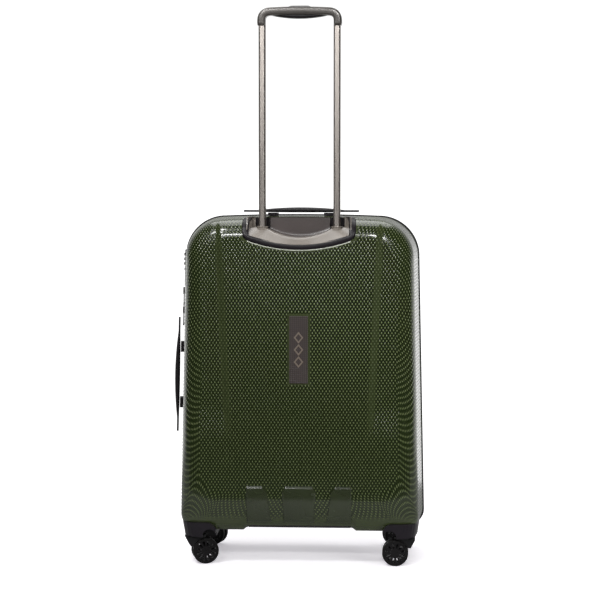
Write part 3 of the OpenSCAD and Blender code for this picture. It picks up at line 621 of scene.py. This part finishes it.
def skin(sign, name, body, nodes):
    """Outer skin on a grid of half a dot's pitch, each crown on a point, with a coarse inner skin
    a wall's thickness inside and a rim between them. sign is -1 for the back and 1 for the front."""
    s, t = np.meshgrid(np.arange(-107, 108) * DOT_X / 2, np.arange(-18, 315) * DOT_Z / 4)
    base, p, n = shell_point(s, t)
    x, z = base[..., 0], base[..., 2]
    crease = (smooth((np.abs(x) - crease_x(z) + 4) / 4) * (1 - smooth((np.abs(x) - crease_x(z) - 10) / 4))
              * smooth((z - 240) / 50) * (1 - smooth((p - 0.85) / 0.4)))
    keep = (1 - 0.5 * crease) * smooth((z - 88) / 18) * (1 - smooth((p - 1.9) / 0.06))
    if sign < 0:
        keep = keep * smooth((np.maximum(np.abs(s) - BADGE[0], np.abs(t - BADGE[2]) - BADGE[1]) - 2) / 3)
        inset = np.where(p < CUP_BACK_P, cup_inset(s, t), -99.0)
        keep = keep * (1 - smooth((inset + 3.6) / 2))
    pts = base + (DOT_HEIGHT * dots(s, t) * keep)[..., None] * n
    faces = grid_faces(s.shape[1], s.shape[0])
    drop = (p.ravel()[faces] >= 2.0).all(1) | past_foot(base)[faces].all(1)
    if sign < 0:
        drop |= (inset.ravel()[faces] > 4.0).any(1)
    faces = faces[~drop]
    count = pts.size // 3
    # inner skin and rim
    si, ti = np.meshgrid(np.arange(-27, 28) * 13.0, np.arange(-5, 80) * 10.0)
    inner, pi, inward = shell_point(si, ti, np.full(si.shape, -WALL))
    fi = grid_faces(si.shape[1], si.shape[0])[:, ::-1]
    dropi = (pi.ravel()[fi] >= 2.0).all(1) | past_foot(inner)[fi].all(1)
    if sign < 0:
        dropi |= (np.where(pi < 1.16, cup_inset(si, ti), -99.0).ravel()[fi] > -2.0).any(1)
    fi = fi[~dropi] + count
    rim = np.stack([rim_loop(RIM_DEPTH, 0.0), rim_loop(RIM_DEPTH, -WALL)], 1).reshape(-1, 3)
    ring = len(rim) // 2
    fr = grid_faces(2, ring, wrap_v=True) + count + inner.size // 3
    points = np.concatenate([pts.reshape(-1, 3), inner.reshape(-1, 3), rim])
    uv = np.concatenate([np.stack([s, t], -1).reshape(-1, 2), np.stack([si, ti], -1).reshape(-1, 2),
                         np.zeros((len(rim), 2))])
    mask = np.concatenate([keep.ravel(), np.zeros(si.size), np.zeros(len(rim))])
    calm = np.concatenate([n.reshape(-1, 3), -inward.reshape(-1, 3), rim * 0.0 + [0, 1, 0]])
    if sign > 0:
        points, calm = mirrored(points), mirrored(calm)
    faces = np.concatenate([faces, fi, fr])
    return piece(name, points, faces, SHELL, body, nodes, uv, mask, turn=sign > 0, calm=calm)


skin(-1, "back_skin", "body", ["back_shell"])
skin(1, "front_skin", "front_half", ["front_shell"])

# zip: a rounded tape whose face is rippled like the teeth's coil
for sign, name, body in ((-1, "back_zip", "body"), (1, "front_zip", "front_half")):
    profile = [(0.2, -2.2), (0.2, 0.6), (0.7, 1.6), (1.7, 2.15), (2.8, 2.15), (3.6, 1.5), (3.8, 0.5),
               (3.8, -2.2)]
    pts, faces = ring_piece(profile, 420)
    rings = pts.reshape(-1, len(profile), 3)
    wave = 0.32 * np.cos(np.arange(len(rings)) * math.pi)[:, None]
    away = rings[:, 3] - rings[:, 0]
    away /= np.linalg.norm(away, axis=1, keepdims=True)
    rings[:, 2:6] += (away * np.minimum(wave, 0))[:, None, :]
    pts = rings.reshape(-1, 3)
    piece(name, pts if sign < 0 else mirrored(pts), faces, LOOKS["zip_tape"], body,
          ["back_zip_tape" if sign < 0 else "front_zip_tape"], recalc=True)

# ---------------------------------------------------------------- trolley cup
inner_x = CUP_HALF - 0.3 - TRIM_W / 2
bottom = [(inner_x * u, CUP_LOW + CUP_SAG - math.sqrt((CUP_SAG - 0.3 - TRIM_W / 2) ** 2 - (inner_x * u) ** 2))
          for u in np.linspace(-1, 1, 60)]
left_top = [(-inner_x + 6 * float(smooth((t - 665) / 50)), t) for t in np.linspace(709, 634, 50)]
path = smoothed(resampled(left_top + bottom + [(-x, t) for x, t in left_top[::-1]], 300), 5)
path[:, 0] = sheet_s(path[:, 0], path[:, 1])
section = [(-4.9, -3.0), (-4.9, 0.1), (-4.3, 0.9), (-3.0, 1.35), (0.6, 1.5), (4.4, 1.3), (6.0, 0.8),
           (6.6, 0.0), (6.6, -3.0), (0.0, -3.4)]
pts, nu, nv = band_on_shell(path, section)
pts, faces = capped(pts, nu, nv)
piece("cup_rim", pts, faces, LOOKS["black_trim"], "body", ["cup_trim"], sharp=50, recalc=True)

# thin lip of the shell round the lower edge of the trim, coloured pale green as a painted highlight
lip = [(-7.0, -0.3), (-6.7, 0.5), (-6.2, 0.95), (-5.5, 1.0), (-5.0, 0.6), (-4.7, -0.3)]
pts, nu, nv = band_on_shell(path[70:-70], lip)
pts, faces = capped(pts, nu, nv)
piece("cup_lip", pts, faces, LIP_HIGHLIGHT, "body", recalc=True)


def cup_profile(x, stops, n, radius):
    """Rounded profile in y and z at each x: straight runs between stops, then a running mean."""
    rows = np.stack([resampled(stops(float(v)), n) for v in x])
    for _ in range(2):
        mean = rows.copy()
        for k in range(1, radius + 1):
            last = rows.shape[1] - radius
            mean[:, radius:-radius] += rows[:, radius - k:last - k] + rows[:, radius + k:last + k]
        mean[:, radius:-radius] /= 2 * radius + 1
        rows = mean
    return rows


SHELF_Z, SCOOP_R, SCOOP_Z, CUP_PANEL_Y = 648.0, 118.0, 747.0, -79.0


def lip_height(x):
    """Edge of the finger scoop: the shelf's level, cut by a circle of radius SCOOP_R."""
    return min(SHELF_Z, SCOOP_Z - math.sqrt(max(SCOOP_R ** 2 - x * x, 0.0)))


def shelf_stops(x):
    """From the trim, up the slope to the edge of the scoop, then level to the back wall."""
    z0 = CUP_LOW + CUP_SAG - math.sqrt((CUP_SAG - TRIM_W) ** 2 - min(abs(x), 96.0) ** 2) + 0.6
    zl = lip_height(x)
    return [(-136.0 + 3.0 * (abs(x) / 97) ** 4, z0), (max(zl - 755.0, -133.0), zl), (CUP_PANEL_Y, zl)]


xs = np.linspace(-96.8, 96.8, 121)
rows = cup_profile(xs, shelf_stops, 46, 2)
pts = np.stack([np.broadcast_to(xs[:, None], rows.shape[:2]), rows[..., 0], rows[..., 1]], -1)
under = pts - [0, -1.5, 2.0]
both = np.concatenate([pts, under[:, ::-1]], 1)
faces = grid_faces(both.shape[1], both.shape[0], wrap_u=True)
flat, faces = slab(both)
piece("cup_shelf", flat, faces, LOOKS["cup_grey"], "body", ["trolley_cup"], sharp=60, recalc=True)

SCOOP = plastic("scoop_taupe", (0.062, 0.050, 0.047), 0.30, 1200.0, 0.04)


def scoop_stops(x):
    """From just inside the scoop's edge down a little, back, and up to the top of the panel."""
    zl = lip_height(x)
    return [(max(zl - 755.0, -133.0) + 1.2, zl - 1.6), (-84.0, zl - 1.6), (-82.0, zl + 1.0), (-81.0, 665.5)]


xs = np.linspace(-57.0, 57.0, 81)
rows = cup_profile(xs, scoop_stops, 60, 2)
rows[..., 1] += 0.4
pts = np.stack([np.broadcast_to(xs[:, None], rows.shape[:2]), rows[..., 0], rows[..., 1]], -1)
both = np.concatenate([pts, pts[:, ::-1] + [0, 1.6, -0.9]], 1)
flat, faces = slab(both)
piece("cup_scoop", flat, faces, SCOOP, "body", sharp=60, recalc=True)

# cheeks of the cup: from the trim's inner edge they hollow inwards round the tubes
for side in (-1, 1):
    u = np.linspace(0, 1, 26)[None, :]
    v = np.linspace(0, 1, 22)[:, None]
    a = u * math.pi / 2
    x = 97.2 - 12.5 * (1 - np.cos(a)) ** 0.8 + 0 * v
    y = -133.0 + 44.0 * np.sin(a) + 10.0 * v ** 2 * np.cos(a)
    z = 634.0 + 33.5 * v + 9.0 * np.sin(a) * (1 - v)
    outer = np.stack([x * side + 0 * z, y + 0 * z, z + 0 * x], -1)
    both = np.concatenate([outer, outer[:, ::-1] + [1.4 * side, 0.3, 0]], 1)
    flat, faces = slab(both)
    name = f"cup_cheek_{'l' if side < 0 else 'r'}"
    piece(name, flat, faces, LOOKS["cup_grey"], "body", sharp=60, recalc=True)

# wall behind the tubes, coloured black as painted shade for the deep pockets beside them
u, v = np.meshgrid(np.linspace(-97, 97, 60), np.linspace(0, 1, 8))
wall = np.stack([u, -77.4 - 0.6 * np.cos(u / 97 * math.pi / 2), 630 + 35.2 * v], -1)
both = np.concatenate([wall, wall[::-1] + [0, 1.6, 0]])
flat, faces = capped(both.transpose(1, 0, 2).reshape(-1, 3), 16, 60)
piece("cup_back_wall", flat, faces, LOOKS["black_trim"], "body", sharp=60, recalc=True)

# ---------------------------------------------------------------- grip
TUBE_Y = 99.0
gx = np.linspace(-56, 56, 41)
centre = [(-71.9, 1027.0), (-71.9, 1041.5)]
centre += [(-71.9 + 15 * (1 - math.cos(q)), 1039.0 + 14.2 * math.sin(q)) for q in np.linspace(0.35, 1.45, 9)]
centre += [(x, 1054.4 - 1.6 * (x / 57) ** 2) for x in gx]
centre += [(-x, z) for x, z in centre[10::-1]]
path = smoothed(resampled(centre, 150), 3)
tangent = np.gradient(path, axis=0)
tangent /= np.linalg.norm(tangent, axis=1, keepdims=True)
normal = np.stack([-tangent[:, 1], tangent[:, 0]], -1)
sec = rounded_section(36, 1.0, 1.0, 5.0)
inset = smooth(np.minimum(np.arange(150), np.arange(149, -1, -1)) / 3)[:, None]
half_w, half_d = 7.9 * (0.93 + 0.07 * inset), 13.3 * (0.95 + 0.05 * inset)
xz = path[:, None, :] + normal[:, None, :] * (sec[None, :, :1] * half_w[:, None, :])
y = -TUBE_Y + sec[None, :, 1] * half_d
flat, faces = capped(np.stack([xz[..., 0], y, xz[..., 1]], -1).reshape(-1, 3), 36, 150)
piece("grip_body", flat, faces, LOOKS["grip"], "trolley", ["grip"], recalc=True)

# soft belly under the bar, bowed down in its middle
x = np.linspace(-57, 57, 61)
rise = 1 - (x / 58.5) ** 2
low, high = 1046.6 - 7.0 * rise, np.full_like(x, 1049.6)
sec = rounded_section(28, 1.0, 1.0, 3.0)
depth = 9.4 * np.sqrt(np.clip(1 - (x / 57.6) ** 6, 0.02, 1))
pts = np.stack([
    np.broadcast_to(x[:, None], (61, 28)),
    -TUBE_Y + sec[None, :, 0] * depth[:, None],
    (low + high)[:, None] / 2 + sec[None, :, 1] * (high - low)[:, None] / 2,
], -1)
flat, faces = capped(pts.reshape(-1, 3), 28, 61)
piece("grip_belly", flat, faces, LOOKS["soft_black"], "trolley", ["grip_pad"], recalc=True)

# push button: a pillow set in the top of the bar
x = np.linspace(-20.3, 20.3, 41)
end = np.sqrt(np.clip(1 - (x / 20.6) ** 8, 0.02, 1))
pts = np.stack([
    np.broadcast_to(x[:, None], (41, 28)),
    -TUBE_Y + sec[None, :, 0] * 6.5 * end[:, None],
    1061.7 + sec[None, :, 1] * 2.4 * end[:, None],
], -1)
flat, faces = capped(pts.reshape(-1, 3), 28, 41)
piece("button_cap", flat, faces, LOOKS["soft_black"], "release_button", ["release_button"], recalc=True)


# ---------------------------------------------------------------- carry handles
def strap_handle(rest, place):
    """Padded strap along x: thin wings that swell into a middle pad, flat under and round over,
    as rounded sections whose width and thickness follow x; place carries it to the case."""
    x = np.linspace(-110.9, 110.9, 141)
    pad = np.clip(1 - (x / 84) ** 2, 0, 1)
    under = rest + 0.1 - 0.9 * pad
    over = rest + 3.9 + 5.2 * pad
    tip = np.sqrt(np.clip(1 - (x / 111.5) ** 10, 0.03, 1))
    width = (9.5 + 3.3 * smooth((100 - np.abs(x)) / 45)) * tip
    sec = rounded_section(32, 1.0, 1.0, 3.2)
    pts = np.stack([
        np.broadcast_to(x[:, None], (141, 32)),
        sec[None, :, 0] * width[:, None],
        ((under + over)[:, None] + sec[None, :, 1] * (over - under)[:, None]) / 2,
    ], -1)
    flat, faces = capped(pts.reshape(-1, 3), 32, 141)
    return place(flat), faces


def turned(axis, degrees):
    """Turning matrix about the y or z axis."""
    c, s = math.cos(math.radians(degrees)), math.sin(math.radians(degrees))
    return np.array({"y": [[c, 0, s], [0, 1, 0], [-s, 0, c]], "z": [[c, -s, 0], [s, c, 0], [0, 0, 1]]}[axis])


TILT, SPLAY = math.degrees(math.atan(TAPER)), math.degrees(math.atan(DRAFT))
SIDE_TURN = turned("z", SPLAY) @ turned("y", TILT - 90)
SIDE_Y, SIDE_Z = 50.0, 361.0
SIDE_SEAT = np.array([-(half_width(SIDE_Z) - DRAFT * SIDE_Y), -SIDE_Y, SIDE_Z])
pts, faces = strap_handle(8.0, lambda p: p + [0, -38.0, TOP - 1.2])
piece("top_strap", pts, faces, LOOKS["soft_black"], "top_handle", ["top_handle"], recalc=True)
pts, faces = strap_handle(9.0, lambda p: p @ SIDE_TURN.T + SIDE_SEAT)
piece("side_strap", pts, faces, LOOKS["soft_black"], "side_handle", ["side_handle"], recalc=True)


# ---------------------------------------------------------------- pads and guard on the back
PAD_LOW, PAD_SHOULDER, PAD_HIGH = 86, 146, 158
T_OF_Z = np.linspace(240, 20, 400)
Z_OF_T = form(np.full(400, 60.0), T_OF_Z)[2]


def pad(name, left, right, nodes=()):
    """Raised pad: the sheet between two slanting sides, lifted by a smooth step of the distance
    inside its outline, so its edges slope. left and right give x at the foot, at the shoulder and
    at the top."""
    low, high = PAD_LOW, PAD_HIGH
    u, v = np.meshgrid(np.linspace(-0.06, 1.06, 60), np.linspace(low - 3, high + 3, 70))
    xl = np.interp(v, [low, PAD_SHOULDER, high], left)
    xr = np.interp(v, [low, PAD_SHOULDER, high], right)
    x = xl + (xr - xl) * u
    inside = np.minimum(np.minimum(x - xl, xr - x), np.minimum(v - low, high - v))
    out = -0.6 + 3.1 * np.minimum(smooth((inside + 0.8) / 3.0), smooth((high + 0.8 - v) / 5.5))
    # z of the face to t on the sheet: the edge's arc is longer than its height
    t = np.interp(v, Z_OF_T[::-1], T_OF_Z[::-1])
    x = sheet_s(x, t)
    pts, _, _ = shell_point(x, t, out)
    under, _, _ = shell_point(x, t, np.full(x.shape, -1.2))
    both = np.concatenate([pts, under[::-1]]).transpose(1, 0, 2)
    flat, faces = slab(both)
    return piece(name, flat, faces, LOOKS["skid"], "body", nodes, recalc=True)


pad("pad_left", [-100, -100, -100], [-52, -60, -70])
pad("pad_mid", [-29, -32, -26], [29, 32, 26], ["skid_pads"])
pad("pad_right", [52, 60, 70], [100, 100, 100])

u = np.linspace(-99, 99, 80)
level = np.full_like(u, np.interp(76.5, Z_OF_T[::-1], T_OF_Z[::-1]) - 22)
strip = np.stack([sheet_s(u, level), level], -1)
section = [(-24.0, -0.5), (-24.0, 1.4), (-22.0, 2.1), (20.0, 2.1), (23.0, 1.4), (24.0, -0.5)]
pts, nu, nv = band_on_shell(strip, section)
flat, faces = capped(pts, nu, nv)
piece("guard_strip", flat, faces, LOOKS["black_trim"], "body", ["base_guard"], recalc=True)


# ---------------------------------------------------------------- linings and soft parts
def lining(sign, name, body, nodes):
    """Cloth held against the shell's inside: the drawn sheet moved in by 5 mm with a slow
    waviness, and a second face 3.3 mm in, on the side of the shell."""
    s, t = np.meshgrid(np.arange(-45, 46) * 7.6, np.arange(-6, 104) * 7.6)
    wave = 0.45 * (np.sin(s / 31.0 + 1.7 * np.sin(t / 53.0)) + np.sin(t / 27.0 + 1.3 * np.sin(s / 47.0)))
    near, p, _ = shell_point(s, t, -4.6 + 0.5 * wave - 0.4)
    far, _, _ = shell_point(s, t, np.full(s.shape, -3.3))
    faces = grid_faces(s.shape[1], s.shape[0])
    x, y, z = near[..., 0].ravel(), near[..., 1].ravel(), near[..., 2].ravel()
    drop = (p.ravel()[faces] >= 1.97).any(1) | ((np.abs(x) > 152) & (y < -36) & (z < 94))[faces].any(1)
    if sign < 0:
        drop |= (np.where(p < 1.2, cup_inset(s, t), -99.0).ravel()[faces] > -5.0).any(1)
        drop |= ((np.abs(x) < 97) & (y < -100) & (z < 604) & (z > 96))[faces].any(1)
    faces = faces[~drop]
    points = np.concatenate([near.reshape(-1, 3), far.reshape(-1, 3)])
    uv = np.concatenate([np.stack([s, t], -1).reshape(-1, 2)] * 2)
    allf = np.concatenate([faces[:, ::-1], faces + s.size])
    if sign > 0:
        points = mirrored(points)
    o = piece(name, points, allf, LINING, body, nodes, uv, turn=sign > 0)
    return o, quad_area(near.reshape(-1, 3), faces)


LINING = cloth("lining_sheet", (0.12, 0.115, 0.11), 0.0016, uv="sheet")
for sign, half, body in ((-1, "back", "body"), (1, "front", "front_half")):
    o, area = lining(sign, f"{half}_lining_cloth", body, [f"{half}_lining"])


def band(points, width_dir, width, thick, material, name, body, nodes=()):
    """Flat webbing along a path: a thin rounded section, width along width_dir."""
    path = np.asarray(points, float)
    tangent = np.gradient(path, axis=0)
    tangent /= np.linalg.norm(tangent, axis=1, keepdims=True)
    w = np.broadcast_to(np.asarray(width_dir, float), path.shape)
    w = w - (w * tangent).sum(1, keepdims=True) * tangent
    w /= np.linalg.norm(w, axis=1, keepdims=True)
    up = np.cross(tangent, w)
    sec = rounded_section(20, width / 2, thick / 2, 6.0)
    pts = path[:, None] + w[:, None] * sec[None, :, :1] + up[:, None] * sec[None, :, 1:]
    flat, faces = capped(pts.reshape(-1, 3), 20, len(path))
    return piece(name, flat, faces, material, body, nodes, recalc=True)


# elastic packing straps: from the buckle out to the lining, with a slight sag inwards
BUCKLE_R, BUCKLE_Z, STRAP_Y = 26, 365, -9.0
for k, (ex, ez) in enumerate(((200, 552), (-200, 552), (218, 169), (-218, 169))):
    a = math.atan2(ez - BUCKLE_Z, ex)
    start = np.array([BUCKLE_R * math.cos(a), STRAP_Y, BUCKLE_Z + BUCKLE_R * math.sin(a)])
    end = np.array([ex, STRAP_Y, ez])
    u = np.linspace(0, 1, 40)[:, None]
    line = start + (end - start) * u + np.array([0, -2.5, 0]) * np.sin(u * math.pi)
    across = np.array([-math.sin(a), 0, math.cos(a)])
    nodes = ["packing_straps"] if k == 0 else ()
    o = band(line, across, 25, 1.2, LOOKS["strap"], f"strap_{k + 1}", "body", nodes)

# hinge web: a strip of cloth inside the right-hand rims, bowed a little inwards
z = np.linspace(190, 531, 60)
web = np.stack([half_width(z) - 8.0 - 0.5 * np.sin((z - 190) / 341 * math.pi), np.full_like(z, -8.2), z], -1)
o = band(web, (0, 1, 0), 15.4, 0.9, LOOKS["strap"], "hinge_cloth", "body", ["hinge_web"])

# cover over the guide tubes: a cloth-faced channel with rounded corners and a slow waviness
across = smoothed(resampled([(-93.4, -79.0), (-93.4, -128.0), (93.4, -128.0), (93.4, -79.0)], 140), 3, 2)
z = np.linspace(130.4, 595.6, 60)
slow = 0.5 * np.sin(z[:, None] / 41.0 + 1.9 * np.sin(np.arange(140) / 17.0)) - 0.5
pull = across - [0, -100]
pull /= np.linalg.norm(pull, axis=1, keepdims=True)
face = across[None] + slow[..., None] * pull[None]
near = np.broadcast_to(across - 2.2 * pull, face.shape)
both = np.concatenate([face, near[:, ::-1]], 1)
both = np.concatenate([both, np.broadcast_to(z[:, None, None], (60, 280, 1))], -1)
flat, faces = slab(both)
o = piece("tube_cover_cloth", flat, faces, LOOKS["panel_cloth"], "body", ["tube_cover"], recalc=True)

# divider: a cloth panel stretched in a bound frame, let sag by cloth simulation
rb, rt, zb, zt, lx, lz, hx, hz = outline_frame(13.0, 13.0, 13.0)
low_z, high_z = zb + 1.0, zt + 1.0
nx, nz = 45, 57
u, v = np.meshgrid(np.linspace(-1, 1, nx), np.linspace(0, 1, nz))
zz = low_z + (high_z - low_z) * v
side = half_width(zz) - 13.0
round_top = np.clip((zz - hz) / rt, 0, 1)
round_low = np.clip((lz - zz) / rb, 0, 1)
side = side - rt * (1 - np.sqrt(1 - round_top ** 2 * 0.999)) - rb * (1 - np.sqrt(1 - round_low ** 2 * 0.999))
side = np.where(zz < 94, np.minimum(side, 150.0), side)
cloth_pts = np.stack([u * side, 8.0 + 0 * u, zz], -1)
edge = (np.abs(u) > 0.999) | (v < 0.001) | (v > 0.999)
panel = piece("divider_cloth", cloth_pts, grid_faces(nx, nz), LOOKS["panel_cloth"], "divider",
              ["divider_panel"])
held = panel.vertex_groups.new(name="held")
held.add(np.flatnonzero(edge.ravel()).tolist(), 1.0, "REPLACE")
sim = panel.modifiers.new("cloth", "CLOTH")
sim.settings.vertex_group_mass = "held"
sim.settings.mass = 0.25
sim.settings.tension_stiffness = 40
sim.settings.bending_stiffness = 0.6
sim.settings.shrink_min = -0.004
sim.collision_settings.use_collision = False
sim.point_cache.frame_start, sim.point_cache.frame_end = 1, 24
for f in range(1, 25):
    bpy.context.scene.frame_set(f)
shown = panel.evaluated_get(bpy.context.evaluated_depsgraph_get())
moved = np.empty(len(shown.data.vertices) * 3)
shown.data.vertices.foreach_get("co", moved)
panel.modifiers.remove(sim)
moved = moved.reshape(-1, 3)
moved[:, 1] = np.clip(moved[:, 1], 0.0055, 0.0105)
panel.data.vertices.foreach_set("co", moved.ravel())
panel.vertex_groups.remove(held)
bpy.context.scene.frame_set(1)
grown = panel.modifiers.new("thickness", "SOLIDIFY")
grown.thickness, grown.offset = 0.0012, 0.0

# ---------------------------------------------------------------- room, light and camera
world = bpy.data.worlds.new("studio")
world.use_nodes = True
wt = world.node_tree
back = wt.nodes["Background"]
direction = wt.nodes.new("ShaderNodeTexCoord").outputs["Generated"]
sep = node(wt, "ShaderNodeSeparateXYZ", Vector=direction)
depth = node(wt, "ShaderNodeMapRange", Value=sep.outputs[1], _1=0.1, _2=0.5, _3=0.03, _4=1.35)
above = node(wt, "ShaderNodeMapRange", Value=sep.outputs[2], _1=-0.03, _2=0.1, _3=1.0, _4=0.4)
depth = math_node(wt, "MULTIPLY", depth.outputs[0], above.outputs[0])
camera_ray = wt.nodes.new("ShaderNodeLightPath").outputs["Is Camera Ray"]
strength = math_node(wt, "MAXIMUM", depth, math_node(wt, "MULTIPLY", camera_ray, 1.1))
fill(wt, back, Strength=strength, Color=(1, 1, 1, 1))
bpy.context.scene.world = world

floor_mesh = bpy.data.meshes.new("floor")
corners = [(-1.6, -0.52, 0), (1.6, -0.52, 0), (1.6, 0.85, 0), (-1.6, 0.85, 0)]
floor_mesh.from_pydata(corners, [], [(0, 1, 2, 3)])
floor = bpy.data.objects.new("floor", floor_mesh)
bpy.context.scene.collection.objects.link(floor)
fm, ft, fs, _ = new_material("floor_white", (0.93, 0.925, 0.93))
rays = ft.nodes.new("ShaderNodeLightPath").outputs
in_gloss = tinted(ft, (0.30, 0.30, 0.30), (0.95, 0.94, 0.95), rays["Is Glossy Ray"])
glow = math_node(ft, "MULTIPLY", rays["Is Camera Ray"], 0.42)
fill(ft, fs, Base_Color=in_gloss, Roughness=0.7, Emission_Color=(0.97, 0.94, 1.0, 1), Emission_Strength=glow)
floor_mesh.materials.append(fm)
floor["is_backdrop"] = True


def softbox(name, at, aim, size, power):
    """Rectangular area light at a place, facing a point."""
    data = bpy.data.lights.new(name, "AREA")
    data.shape, data.size, data.size_y = "RECTANGLE", size[0], size[1]
    data.energy = power
    o = bpy.data.objects.new(name, data)
    bpy.context.scene.collection.objects.link(o)
    o.location = at
    o.rotation_euler = (Vector(aim) - Vector(at)).to_track_quat("-Z", "Y").to_euler()
    o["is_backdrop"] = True
    return o


softbox("back_box", (-0.85, -4.3, 2.05), (0, 0, 0.9), (0.8, 1.1), 12)
softbox("key_box", (-1.0, -1.9, 2.6), (-0.1, 0, 0.5), (0.8, 0.4), 42).visible_glossy = False
softbox("spark_box", (0.55, -3.1, 1.75), (0, 0, 0.4), (0.7, 0.22), 28)
softbox("spark_left", (-0.6, -3.1, 1.9), (0, 0, 0.5), (0.7, 0.22), 20)
softbox("side_fill", (1.35, -1.2, 0.62), (0.2, 0, 0.42), (0.7, 0.9), 15).visible_glossy = False
softbox("patch_box", (-1.0, -1.9, 2.6), (-0.1, 0, 0.5), (0.62, 1.15), 62).visible_diffuse = False
softbox("top_box", (0, 0.6, 3.2), (0, 0, 0.3), (3.0, 2.4), 70)

cam_data = bpy.data.cameras.new("camera")
cam_data.sensor_width = 36.0
cam_data.lens = 115.1
cam_data.clip_end = 60
cam = bpy.data.objects.new("camera", cam_data)
bpy.context.scene.collection.objects.link(cam)
YAW, AWAY, SHIFT_X = math.radians(3.1), 3.735, -0.0048
place = Vector((math.sin(YAW) * AWAY + SHIFT_X, -math.cos(YAW) * AWAY, 0.783))
look = Vector((SHIFT_X, 0.0, 0.502))
cam.location = place
cam.rotation_euler = (look - place).to_track_quat("-Z", "Y").to_euler()
bpy.context.scene.camera = cam
cam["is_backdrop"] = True
bpy.context.scene.view_settings.view_transform = "Standard"

low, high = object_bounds()
